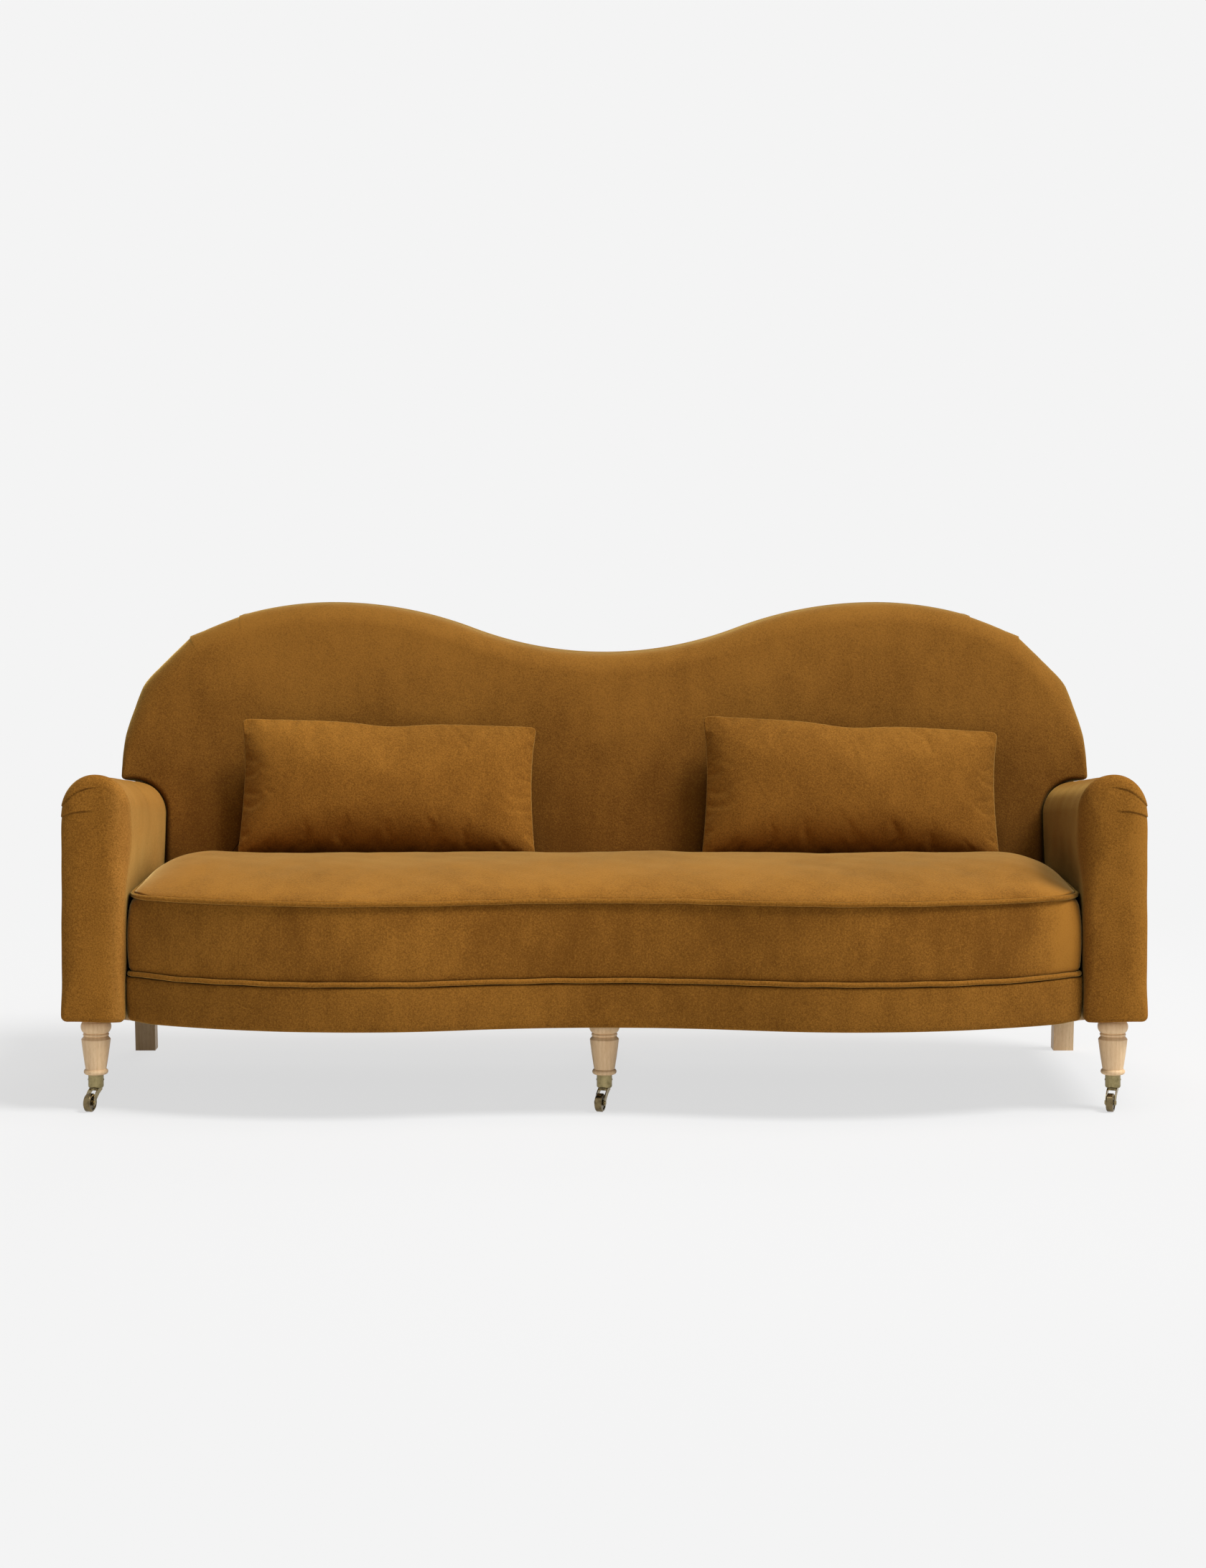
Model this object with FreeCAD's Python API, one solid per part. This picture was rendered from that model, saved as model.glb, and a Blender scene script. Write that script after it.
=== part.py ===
"""A three-seat sofa: double-humped back, serpentine bench seat, slim rolled arms, turned legs on casters.

Millimetres, +Z up, the front toward -Y. Left and right are as seen from the front, so left is -X.
The origin is on the floor under the middle of the sofa's outer box.
"""

import FreeCAD
import Part

import math
import os

Vector = FreeCAD.Vector

# Overall
width = 2134.0
depth = 910.0
back_height = 974.0
clearance = 0.3

# Base and seat levels
frame_bottom = 178.0
rail_height = 72.0
webbing_thickness = 2.0
deck_pad_thickness = 10.0
seat_edge_height = 422.0
seat_crown = 58.0

# Serpentine front, seen from above
bulge_offset_share = 0.22775
front_dip = 59.0
bulge_radius_share = 0.4234
rail_end_margin = 62.0

# Arms
arm_roll_radius = 68.5
arm_setback = 105.0
arm_front_height = 662.0
arm_back_height = 580.0
arm_front_rounding = 18.0
arm_wall = 25.0
facing_thickness = 30.0
outside_panel = 10.0
arm_rail_width = 72.0
arm_rail_thickness = 24.0
arm_rail_cover = 30.0
arm_post_width = 85.0
arm_post_thickness = 30.0

# Back
seat_depth_share = 0.7088
back_rake = 14.0
back_lean = 55.0
back_set_in = 32.0
back_crown = 12.0
back_front_rounding = 42.0
back_rear_rounding = 10.0
hump_dip = 108.0
hump_offset_share = 0.57
hump_inner_share = 0.5163
hump_outer_share = 0.715
shoulder_share = 0.3266
back_panel_thickness = 8.0
back_panel_margin = 12.0
back_wrap = 20.0
back_frame_thickness = 45.0
top_rail_height = 80.0
top_rail_drop = 274.0
back_post_width = 45.0
back_post_margin = 5.0
tack_rail_rise = 70.0
tack_rail_height = 60.0
back_strap_width = 60.0
back_strap_shares = [0.13, 0.39, 0.65]

# Wooden base frame
cover_set_in = 4.0
cover_thickness = 12.0
front_rail_thickness = 30.0
side_rail_thickness = 28.0
rear_rail_thickness = 40.0
rear_rail_front_gap = 8.0
leg_block_width = 90.0
leg_block_depth = 65.0
leg_block_height = 44.0
stretcher_thickness = 28.0
centre_stretcher_thickness = 44.0
stretcher_rise = 10.0
stretcher_offset_share = 0.2343
corner_block_leg = 70.0
seat_strap_width = 60.0
seat_strap_pitch_share = 0.068
seat_strap_pairs = 6
cross_strap_pitch_share = 0.2
dust_cover_thickness = 1.0
dust_cover_margin = 25.0

# Loose bench cushion
welt_radius = 5.0
welt_lap = 3.6
edge_bevel = 8.6
boxing_bulge = 5.0
side_gap = 1.0
back_gap = 1.0
cushion_bottom_corner = 90.0
cushion_top_corner = 150.0
cushion_rear_corner = 30.0
crown_flat_share = 0.86
crown_fade_share = 0.93
crown_fade_rise_share = 0.68
crown_end_rise_share = 0.10
core_margin = 30.0
core_top_margin = 20.0

# Lumbar pillows
pillow_width_share = 0.2915
pillow_height = 304.0
pillow_thickness = 128.0
pillow_draw_in = 16.0
pillow_edge = 6.0
pillow_left_share = -0.2132
pillow_right_share = 0.2423
pillow_tuck = 0.6
pillow_settling_steps = 4
insert_margin = 12.0
pillow_place_shares = [-1.0, -0.9, -0.62, 0.0, 0.62, 0.9, 1.0]
pillow_swell_shares = [0.0, 0.46, 0.88, 1.0, 0.88, 0.46, 0.0]

# Front legs
front_leg_shift = 2.5
front_leg_setback = 156.0
leg_top_radius = 25.0
leg_bead_radius = 30.0
leg_bead_height = 163.0
leg_bead_half = 12.0
leg_neck_radius = 23.5
leg_ring_radius = 25.6
leg_ring_height = 148.0
leg_ring_half = 2.8
leg_shoulder_radius = 28.7
leg_shoulder_height = 139.0
leg_waist_radius = 25.3
leg_waist_height = 112.0
leg_ankle_radius = 20.4
leg_ankle_height = 80.5
leg_foot_radius = 24.0
leg_foot_height = 75.0
leg_foot_half = 5.0
hanger_bolt_radius = 4.0
hanger_bolt_reach = 34.0

# Rear legs
rear_leg_shift = 2.5
rear_leg_side = 43.0
rear_leg_rake = 10.0

# Cup casters
caster_turn = 18.0
caster_trail = 26.4
wheel_radius = 18.0
wheel_width = 14.0
wheel_rounding = 2.0
wheel_recess_radius = 13.5
wheel_recess = 1.5
wheel_hub_radius = 5.5
axle_radius = 2.5
axle_head_radius = 3.8
axle_head = 1.5
axle_clearance = 0.05
cheek_gap = 1.0
cheek_thickness = 2.0
cheek_boss_radius = 6.0
cheek_heel = 8.0
cheek_toe = 10.0
cup_radius = 15.2
cup_wall = 2.0
cup_floor = 3.0
cup_bottom = 43.0
cup_top = 69.0
cup_rounding = 4.0
pintle_radius = 4.0
pintle_head_radius = 5.5
pintle_head = 3.0
pintle_pocket = 1.0
fork_plate = 4.0

# Derived places
front = -depth / 2
seat_depth = depth * seat_depth_share
back_half_width = width / 2 - back_set_in
dip_height = back_height - hump_dip
rail_top = frame_bottom + rail_height
strap_top = rail_top + webbing_thickness
deck_top = strap_top + deck_pad_thickness
side_rail_top = rail_top - webbing_thickness
arm_outer = width / 2
arm_middle = arm_outer - arm_roll_radius
arm_inner = arm_middle - arm_roll_radius
front_leg_x = arm_middle + front_leg_shift
rear_leg_x = arm_middle - rear_leg_shift
stretcher_offset = width * stretcher_offset_share
seat_strap_pitch = width * seat_strap_pitch_share
cross_strap_pitch = depth * cross_strap_pitch_share
pillow_width = width * pillow_width_share
tack_rail_bottom = rail_top + tack_rail_rise
tack_rail_top = tack_rail_bottom + tack_rail_height
top_rail_low_end = back_height - top_rail_drop
arm_front = front + arm_setback
facing_back = arm_front + facing_thickness
caster_y = front + front_leg_setback
panel_top = back_height - back_panel_margin
lean_slope = back_lean / (back_height - frame_bottom)
rake_slope = math.tan(math.radians(back_rake))
frame_zone = back_panel_thickness + back_frame_thickness
overrun = width

# The serpentine's circles
bulge_offset = width * bulge_offset_share
rail_end_x = arm_inner - rail_end_margin
serpent_span = (bulge_offset**2 + front_dip**2) / (2 * front_dip)
bulge_radius = serpent_span * bulge_radius_share
hollow_radius = serpent_span - bulge_radius
bulge_centre_y = front + bulge_radius
hollow_centre_y = front + front_dip - hollow_radius
rail_end_angle = math.asin((rail_end_x - bulge_offset) / bulge_radius)

# The camel back's circles
hump_offset = back_half_width * hump_offset_share
hump_outer_radius = back_half_width * hump_outer_share
shoulder_radius = back_half_width * shoulder_share
hump_span = (hump_offset**2 + hump_dip**2) / (2 * hump_dip)
hump_inner_radius = hump_span * hump_inner_share
dip_radius = hump_span - hump_inner_radius
shoulder_x = back_half_width - shoulder_radius
shoulder_run = hump_outer_radius - shoulder_radius
shoulder_z = back_height - hump_outer_radius + math.sqrt(shoulder_run**2 - (shoulder_x - hump_offset) ** 2)
shoulder_angle = math.asin((shoulder_x - hump_offset) / shoulder_run)


def outside(z):
    """The outside back's y at a height."""
    return depth / 2 + (z - panel_top) * lean_slope


def back_face(z):
    """The straight line under the inside back's crown, at a height."""
    return front + seat_depth + (z - seat_edge_height) * rake_slope


arm_rear = outside(frame_bottom) - back_panel_thickness
arm_slope = (arm_front_height - arm_back_height) / (arm_rear - arm_front)


def arm_top(y):
    """The height of the arm roll's ridge."""
    return arm_front_height - (y - arm_front) * arm_slope


def box(x0, x1, y0, y1, z0, z1):
    return Part.makeBox(x1 - x0, y1 - y0, z1 - z0, Vector(x0, y0, z0))


def arc(first, between, last):
    """An edge along the circle through three points."""
    return Part.Arc(first, between, last).toShape()


def side_prism(points, x0, x1):
    """A polygon of (y, z) points, run along X."""
    corners = [Vector(x0, y, z) for y, z in points]
    face = Part.Face(Part.makePolygon(corners + corners[:1]))
    return face.extrude(Vector(x1 - x0, 0, 0))


def both(shape):
    """A right-hand piece and its left-hand mirror image."""
    return shape, shape.mirror(Vector(0, 0, 0), Vector(1, 0, 0))


def curve(centre, radius, start, end, place):
    """An arc from angle start to end, both measured from the front and positive outward."""
    points = []
    for angle in (start, (start + end) / 2, end):
        points.append(place(centre[0] + radius * math.sin(angle), centre[1] - radius * math.cos(angle)))
    return arc(*points)


def mirrored_chain(half):
    """The left half of a chain of edges, its mirror image and their order along the chain."""
    other = [edge.mirror(Vector(0, 0, 0), Vector(1, 0, 0)) for edge in half]
    return Part.Wire(Part.__sortEdges__(half + other))


def raked_slab(near, far, low, high):
    """What lies between two planes parallel to the outside back, this far in front of it."""
    points = [
        (outside(low) - near, low),
        (outside(low) - far, low),
        (outside(high) - far, high),
        (outside(high) - near, high),
    ]
    return side_prism(points, -width / 2, width / 2)


def front_arcs(inset, z, end_angle):
    """The right half of the serpentine line, moved back by the inset, from the middle outward."""

    def place(x, y):
        return Vector(x, y, z)

    turn = math.asin(bulge_offset / serpent_span)
    hollow = hollow_radius + inset
    middle = place(0, hollow_centre_y + hollow)
    between = place(hollow * math.sin(turn / 2), hollow_centre_y + hollow * math.cos(turn / 2))
    meeting = place(hollow * math.sin(turn), hollow_centre_y + hollow * math.cos(turn))
    first = arc(middle, between, meeting)
    second = curve((bulge_offset, bulge_centre_y), bulge_radius - inset, -turn, end_angle, place)
    return [first, second]


def front_point(inset, angle):
    """The bulge's point at an angle from its crest."""
    radius = bulge_radius - inset
    return bulge_offset + radius * math.sin(angle), bulge_centre_y - radius * math.cos(angle)


def deck_region(inset, side, rear, z0, z1):
    """The seat's plan behind the serpentine line, whose ends run straight on to the side."""
    x, y = front_point(inset, rail_end_angle)
    y_side = y + (side - x) * math.tan(rail_end_angle)
    half = front_arcs(inset, z0, rail_end_angle)
    half.append(Part.makeLine(Vector(x, y, z0), Vector(side, y_side, z0)))
    half.append(Part.makeLine(Vector(side, y_side, z0), Vector(side, rear, z0)))
    half.append(Part.makeLine(Vector(side, rear, z0), Vector(0, rear, z0)))
    return Part.Face(mirrored_chain(half)).extrude(Vector(0, 0, z1 - z0))


def cushion_outline(inset, corner, z, rear_level):
    """The bench cushion's plan: serpentine front, curled corners and a rear set by the back's rake."""
    side = arm_inner - side_gap - inset
    rear = back_face(rear_level) - back_gap - back_crown - inset
    bulge = bulge_radius - inset
    corner_x = side - corner
    reach = bulge - corner
    corner_y = bulge_centre_y - math.sqrt(reach**2 - (corner_x - bulge_offset) ** 2)
    end_angle = math.asin((corner_x - bulge_offset) / reach)
    rear_corner = cushion_rear_corner - inset / 2
    diagonal = rear_corner * (1 - math.cos(math.radians(45)))

    def place(x, y):
        return Vector(x, y, z)

    half = front_arcs(inset, z, end_angle)
    half.append(curve((corner_x, corner_y), corner, end_angle, math.radians(90), place))
    half.append(Part.makeLine(place(side, corner_y), place(side, rear - rear_corner)))
    turn_start = place(side, rear - rear_corner)
    turn_middle = place(side - diagonal, rear - diagonal)
    half.append(arc(turn_start, turn_middle, place(side - rear_corner, rear)))
    half.append(Part.makeLine(place(side - rear_corner, rear), place(0, rear)))
    return mirrored_chain(half)


def camel_outline(inset, bottom, y):
    """The back's elevation: a dip in the middle, two humps, round shoulders and straight sides."""

    def place(x, z):
        return Vector(x, y, z)

    def over(x, z, radius, start, end):
        points = []
        for angle in (start, (start + end) / 2, end):
            points.append(place(x + radius * math.sin(angle), z + radius * math.cos(angle)))
        return arc(*points)

    turn = math.asin(hump_offset / hump_span)
    dip = dip_radius + inset
    centre = dip_height + dip_radius
    middle = place(0, centre - dip)
    between = place(dip * math.sin(turn / 2), centre - dip * math.cos(turn / 2))
    meeting = place(dip * math.sin(turn), centre - dip * math.cos(turn))
    side = back_half_width - inset
    half = [arc(middle, between, meeting)]
    half.append(over(hump_offset, back_height - hump_inner_radius, hump_inner_radius - inset, -turn, 0))
    outer = back_height - hump_outer_radius
    half.append(over(hump_offset, outer, hump_outer_radius - inset, 0, shoulder_angle))
    half.append(over(shoulder_x, shoulder_z, shoulder_radius - inset, shoulder_angle, math.radians(90)))
    half.append(Part.makeLine(place(side, shoulder_z), place(side, bottom)))
    half.append(Part.makeLine(place(side, bottom), place(0, bottom)))
    return mirrored_chain(half)


def camel_prism(inset, bottom):
    return Part.Face(camel_outline(inset, bottom, 0)).extrude(Vector(0, depth, 0))


def tube_along(wire, radius):
    """A round cord laid along a closed wire of lines and arcs."""
    pieces = []
    for edge in wire.OrderedEdges:
        start = edge.valueAt(edge.FirstParameter)
        along = edge.tangentAt(edge.FirstParameter)
        disc = Part.Face(Part.Wire(Part.makeCircle(radius, start, along)))
        if isinstance(edge.Curve, Part.Circle):
            sweep = math.degrees(edge.LastParameter - edge.FirstParameter)
            pieces.append(disc.revolve(edge.Curve.Center, edge.Curve.Axis, sweep))
        else:
            pieces.append(disc.extrude(edge.valueAt(edge.LastParameter) - start))
    return pieces[0].multiFuse(pieces[1:]).removeSplitter()


def arm_envelope():
    """The right arm's whole outer form: upright sides under a half-round roll that falls to the rear."""
    crown_z = arm_front_height - arm_roll_radius
    diagonal = arm_roll_radius * math.sin(math.radians(45))

    def place(x, z):
        return Vector(x, arm_front, z)

    edges = [
        Part.makeLine(place(arm_inner, frame_bottom), place(arm_inner, crown_z)),
        arc(
            place(arm_inner, crown_z),
            place(arm_middle - diagonal, crown_z + diagonal),
            place(arm_middle, arm_front_height),
        ),
        arc(
            place(arm_middle, arm_front_height),
            place(arm_middle + diagonal, crown_z + diagonal),
            place(arm_outer, crown_z),
        ),
        Part.makeLine(place(arm_outer, crown_z), place(arm_outer, frame_bottom)),
        Part.makeLine(place(arm_outer, frame_bottom), place(arm_inner, frame_bottom)),
    ]
    run = depth
    solid = Part.Face(Part.Wire(edges)).extrude(Vector(0, run, -run * arm_slope))
    above = box(arm_inner - overrun, arm_outer + overrun, arm_front, depth, frame_bottom, back_height)
    return solid.common(above)


def rounded_front(solid):
    """The arm's form with its front face's edges rounded over."""
    face = min(solid.Faces, key=lambda face: face.CenterOfMass.y)
    edges = [edge for edge in face.Edges if edge.CenterOfMass.z > frame_bottom + clearance]
    return solid.makeFillet(arm_front_rounding, edges)


def under_arm_rail(drop, x0, x1, y0):
    """What lies this far below the arm roll's ridge, between the base and the outside back panel."""
    rear = outside(arm_back_height) - back_panel_thickness
    points = [
        (y0, frame_bottom),
        (arm_rear, frame_bottom),
        (rear, arm_top(rear) - drop),
        (y0, arm_top(y0) - drop),
    ]
    return side_prism(points, x0, x1)


def make_arm(envelope, back_post, tack_rails):
    """The right arm's upholstery and frame, as a dictionary of pieces."""
    rail_drop = arm_rail_cover + arm_rail_thickness
    inside = arm_inner + arm_wall
    front_slice = box(0, width, arm_front - overrun, facing_back, 0, width)
    body = envelope.cut(front_slice).common(raked_slab(depth, back_panel_thickness, 0, back_height))
    half_rail = arm_rail_width / 2
    rail = side_prism(
        [
            (facing_back, arm_top(facing_back) - arm_rail_cover),
            (facing_back, arm_top(facing_back) - rail_drop),
            (depth, arm_top(depth) - rail_drop),
            (depth, arm_top(depth) - arm_rail_cover),
        ],
        arm_middle - half_rail,
        arm_middle + half_rail,
    ).common(raked_slab(depth, frame_zone, 0, back_height))
    hollow = under_arm_rail(rail_drop, inside, arm_outer + overrun, facing_back)
    foot = box(arm_inner - overrun, arm_outer + overrun, facing_back, depth, 0, rail_top)
    pad = body.cut(hollow).cut(rail).cut(back_post).cut(tack_rails).cut(foot)
    outer_zone = under_arm_rail(rail_drop, arm_outer - outside_panel, arm_outer + overrun, facing_back)
    panel = body.common(outer_zone)
    facing = envelope.common(front_slice)
    post_bottom = frame_bottom + leg_block_height
    post_back = facing_back + arm_post_thickness
    post = side_prism(
        [
            (facing_back, post_bottom),
            (post_back, post_bottom),
            (post_back, arm_top(post_back) - rail_drop),
            (facing_back, arm_top(facing_back) - rail_drop),
        ],
        arm_middle - arm_post_width / 2,
        arm_middle + arm_post_width / 2,
    )
    return {
        "arm_pad": pad,
        "outside_arm_panel": panel,
        "arm_facing": facing,
        "arm_rail": rail,
        "arm_post": post,
    }


def make_back(arms):
    """The camel back: its frame, webbing, inside pad and outside panel."""
    zone = raked_slab(frame_zone, back_panel_thickness, rail_top, back_height)
    frame_form = camel_prism(back_wrap, rail_top)
    low_form = camel_prism(back_wrap + top_rail_height, 0)
    band = frame_form.cut(low_form).cut(box(-width, width, 0, depth, 0, top_rail_low_end))
    top_rail = band.common(zone)
    post_x = arm_middle - arm_rail_width / 2 + back_post_margin
    side_post = box(post_x, post_x + back_post_width, 0, depth, rail_top, back_height)
    side_post = side_post.common(zone).common(frame_form).cut(band)
    centre_post = box(-back_post_width / 2, back_post_width / 2, 0, depth, rail_top, back_height)
    centre_post = centre_post.common(zone).common(frame_form).cut(band)
    tack = raked_slab(frame_zone, frame_zone - stretcher_thickness, tack_rail_bottom, tack_rail_top)
    tack = tack.common(box(-post_x, post_x, 0, depth, 0, back_height))
    gap = box(-back_post_width / 2, back_post_width / 2, 0, depth, 0, back_height)
    tack = tack.cut(gap)
    strap_room = dip_height - back_wrap - top_rail_height - tack_rail_top
    straps = []
    for share in back_strap_shares:
        height = tack_rail_top + strap_room * share
        strap = raked_slab(frame_zone + webbing_thickness, frame_zone, height, height + back_strap_width)
        straps.append(strap.common(box(-arm_inner, arm_inner, 0, depth, 0, back_height)))

    crest = back_height + back_wrap
    low = Vector(-width / 2, back_face(deck_top), deck_top)
    high = Vector(-width / 2, back_face(crest), crest)
    rake = math.radians(back_rake)
    swell = Vector(0, -math.cos(rake), math.sin(rake)) * back_crown
    rear_high = Vector(-width / 2, outside(crest) - back_panel_thickness, crest)
    rear_low = Vector(-width / 2, outside(deck_top) - back_panel_thickness, deck_top)
    edges = [
        arc(low, (low + high) / 2 + swell, high),
        Part.makeLine(high, rear_high),
        Part.makeLine(rear_high, rear_low),
        Part.makeLine(rear_low, low),
    ]
    profile = Part.Face(Part.Wire(edges)).extrude(Vector(width, 0, 0))
    pad = camel_prism(0, deck_top).common(profile)
    pad = rounded_back(pad)
    hollow = camel_prism(back_wrap, rail_top).common(
        raked_slab(frame_zone + webbing_thickness, back_panel_thickness, 0, back_height)
    )
    pad = pad.cut(hollow)
    for arm in arms:
        pad = pad.cut(arm)
    panel_form = camel_prism(back_panel_margin, frame_bottom).fuse(arms[0]).fuse(arms[1])
    panel = panel_form.common(raked_slab(back_panel_thickness, 0, 0, back_height))
    return top_rail, side_post, centre_post, tack, Part.Compound(straps), pad, panel


def rounded_back(pad):
    """The inside back with its front and rear outlines rounded over."""
    front_face = min(pad.Faces, key=lambda face: face.CenterOfMass.y)
    rear_face = max(pad.Faces, key=lambda face: face.CenterOfMass.y)
    fronts = [edge for edge in front_face.Edges if edge.CenterOfMass.z > deck_top + clearance]
    rears = [edge for edge in rear_face.Edges if edge.CenterOfMass.z > deck_top + clearance]
    return pad.makeFillet(back_rear_rounding, rears).makeFillet(back_front_rounding, fronts)


def turned_leg(x):
    """A front leg turned on its axis: bead, ring, shoulder, long taper, foot ring and the cup's tenon."""
    r_tenon = cup_radius - cup_wall
    tenon_end = cup_bottom + cup_floor
    bead_top = leg_bead_height + leg_bead_half
    bead_bottom = leg_bead_height - leg_bead_half
    ring_bottom = leg_ring_height - leg_ring_half
    foot_top = leg_foot_height + leg_foot_half
    foot_bottom = leg_foot_height - leg_foot_half

    def at(radius, height):
        return Vector(x + radius, caster_y, height)

    axis_top = at(0, frame_bottom)
    edges = [
        Part.makeLine(axis_top, at(leg_top_radius, frame_bottom)),
        Part.makeLine(at(leg_top_radius, frame_bottom), at(leg_top_radius, bead_top)),
        arc(
            at(leg_top_radius, bead_top),
            at(leg_bead_radius, leg_bead_height),
            at(leg_neck_radius, bead_bottom),
        ),
        arc(
            at(leg_neck_radius, bead_bottom),
            at(leg_ring_radius, leg_ring_height),
            at(leg_neck_radius, ring_bottom),
        ),
        Part.makeLine(at(leg_neck_radius, ring_bottom), at(leg_shoulder_radius, leg_shoulder_height)),
        arc(
            at(leg_shoulder_radius, leg_shoulder_height),
            at(leg_waist_radius, leg_waist_height),
            at(leg_ankle_radius, leg_ankle_height),
        ),
        Part.makeLine(at(leg_ankle_radius, leg_ankle_height), at(leg_ankle_radius, foot_top)),
        arc(
            at(leg_ankle_radius, foot_top),
            at(leg_foot_radius, leg_foot_height),
            at(leg_ankle_radius, foot_bottom),
        ),
        Part.makeLine(at(leg_ankle_radius, foot_bottom), at(cup_radius, cup_top)),
        Part.makeLine(at(cup_radius, cup_top), at(r_tenon, cup_top)),
        Part.makeLine(at(r_tenon, cup_top), at(r_tenon, tenon_end)),
        Part.makeLine(at(r_tenon, tenon_end), at(0, tenon_end)),
        Part.makeLine(at(0, tenon_end), axis_top),
    ]
    face = Part.Face(Part.Wire(edges))
    leg = face.revolve(Vector(x, caster_y, 0), Vector(0, 0, 1), 360)
    pocket = Part.makeCylinder(
        pintle_head_radius + pintle_pocket,
        pintle_head + 2 * pintle_pocket,
        Vector(x, caster_y, tenon_end),
    )
    return leg.cut(pocket)


def square_leg(x):
    """A square rear leg, raked backward and cut level at the floor."""
    drop = frame_bottom * math.tan(math.radians(rear_leg_rake))
    rear = outside(frame_bottom)
    points = [
        (rear - rear_leg_side, frame_bottom),
        (rear, frame_bottom),
        (rear + drop, 0),
        (rear + drop - rear_leg_side, 0),
    ]
    return side_prism(points, x - rear_leg_side / 2, x + rear_leg_side / 2)


def turned(points, x):
    """A closed outline of (radius, height) points, turned about a vertical axis over the caster."""
    corners = [Vector(x + r, caster_y, z) for r, z in points]
    face = Part.Face(Part.makePolygon(corners + corners[:1]))
    return face.revolve(Vector(x, caster_y, 0), Vector(0, 0, 1), 360)


def make_caster(x):
    """One cup caster under the leg at x: cup, fork with its pintle, axle and wheel."""
    inner = cup_radius - cup_wall
    hole = pintle_radius + axle_clearance
    floor_top = cup_bottom + cup_floor
    cup = turned(
        [
            (hole, cup_bottom),
            (cup_radius, cup_bottom),
            (cup_radius, cup_top),
            (inner, cup_top),
            (inner, floor_top),
            (hole, floor_top),
        ],
        x,
    )
    lower = []
    for edge in cup.Edges:
        point = edge.Vertexes[0]
        reach = math.hypot(point.X - x, point.Y - caster_y)
        if abs(point.Z - cup_bottom) < clearance and abs(reach - cup_radius) < clearance:
            if isinstance(edge.Curve, Part.Circle):
                lower.append(edge)
    cup = cup.makeFillet(cup_rounding, lower)

    half = wheel_width / 2
    cheek_in = half + cheek_gap
    cheek_out = cheek_in + cheek_thickness
    plate_top = cup_bottom - clearance
    plate_bottom = plate_top - fork_plate
    boss = Vector(caster_trail, 0, wheel_radius)
    toe = Vector(caster_trail + cheek_boss_radius, 0, wheel_radius)
    under = Vector(caster_trail, 0, wheel_radius - cheek_boss_radius)
    back_of_boss = Vector(caster_trail - cheek_boss_radius, 0, wheel_radius)
    brow = Vector(cheek_toe, 0, plate_top)
    heel_top = Vector(-cheek_heel, 0, plate_top)
    heel = Vector(-cheek_heel, 0, plate_bottom)
    knee = (brow + toe) / 2 + Vector(cheek_thickness, 0, cheek_thickness)
    inner_knee = (heel + back_of_boss) / 2 + Vector(cheek_thickness, 0, cheek_thickness)
    cheek_edges = [
        Part.makeLine(heel_top, brow),
        arc(brow, knee, toe),
        arc(toe, under, back_of_boss),
        arc(back_of_boss, inner_knee, heel),
        Part.makeLine(heel, heel_top),
    ]
    cheek = Part.Face(Part.Wire(cheek_edges)).extrude(Vector(0, cheek_thickness, 0))
    near = cheek.translated(Vector(0, cheek_in, 0))
    far = cheek.translated(Vector(0, -cheek_out, 0))
    plate = box(-cheek_heel, cheek_toe, -cheek_out, cheek_out, plate_bottom, plate_top)
    head_low = floor_top + clearance
    pintle = Part.makeCylinder(pintle_radius, head_low - plate_bottom, Vector(0, 0, plate_bottom))
    head = Part.makeCylinder(pintle_head_radius, pintle_head, Vector(0, 0, head_low))
    across = Vector(0, 1, 0)
    shaft = Part.makeCylinder(axle_radius, 2 * cheek_out, boss - across * cheek_out, across)
    fork = plate.multiFuse([near, far, pintle, head]).cut(shaft)
    ends = []
    for y in (-cheek_out - axle_head, cheek_out):
        ends.append(Part.makeCylinder(axle_head_radius, axle_head, boss + across * y, across))
    axle = shaft.multiFuse(ends)

    bore = axle_radius + axle_clearance
    profile = [
        (bore, -half),
        (wheel_hub_radius, -half),
        (wheel_hub_radius, -half + wheel_recess),
        (wheel_recess_radius, -half + wheel_recess),
        (wheel_recess_radius, -half),
        (wheel_radius - wheel_rounding, -half),
        (wheel_radius, -half + wheel_rounding),
        (wheel_radius, half - wheel_rounding),
        (wheel_radius - wheel_rounding, half),
        (wheel_recess_radius, half),
        (wheel_recess_radius, half - wheel_recess),
        (wheel_hub_radius, half - wheel_recess),
        (wheel_hub_radius, half),
        (bore, half),
    ]
    corners = [boss + Vector(0, along, radius) for radius, along in profile]
    wheel = Part.Face(Part.makePolygon(corners + corners[:1])).revolve(boss, across, 360)

    turn = FreeCAD.Rotation(Vector(0, 0, 1), -90 - caster_turn)
    placement = FreeCAD.Placement(Vector(x, caster_y, 0), turn)
    placed = []
    for shape in (fork, axle, wheel):
        placed.append(shape.transformGeometry(placement.toMatrix()))
    return [cup] + placed


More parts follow.
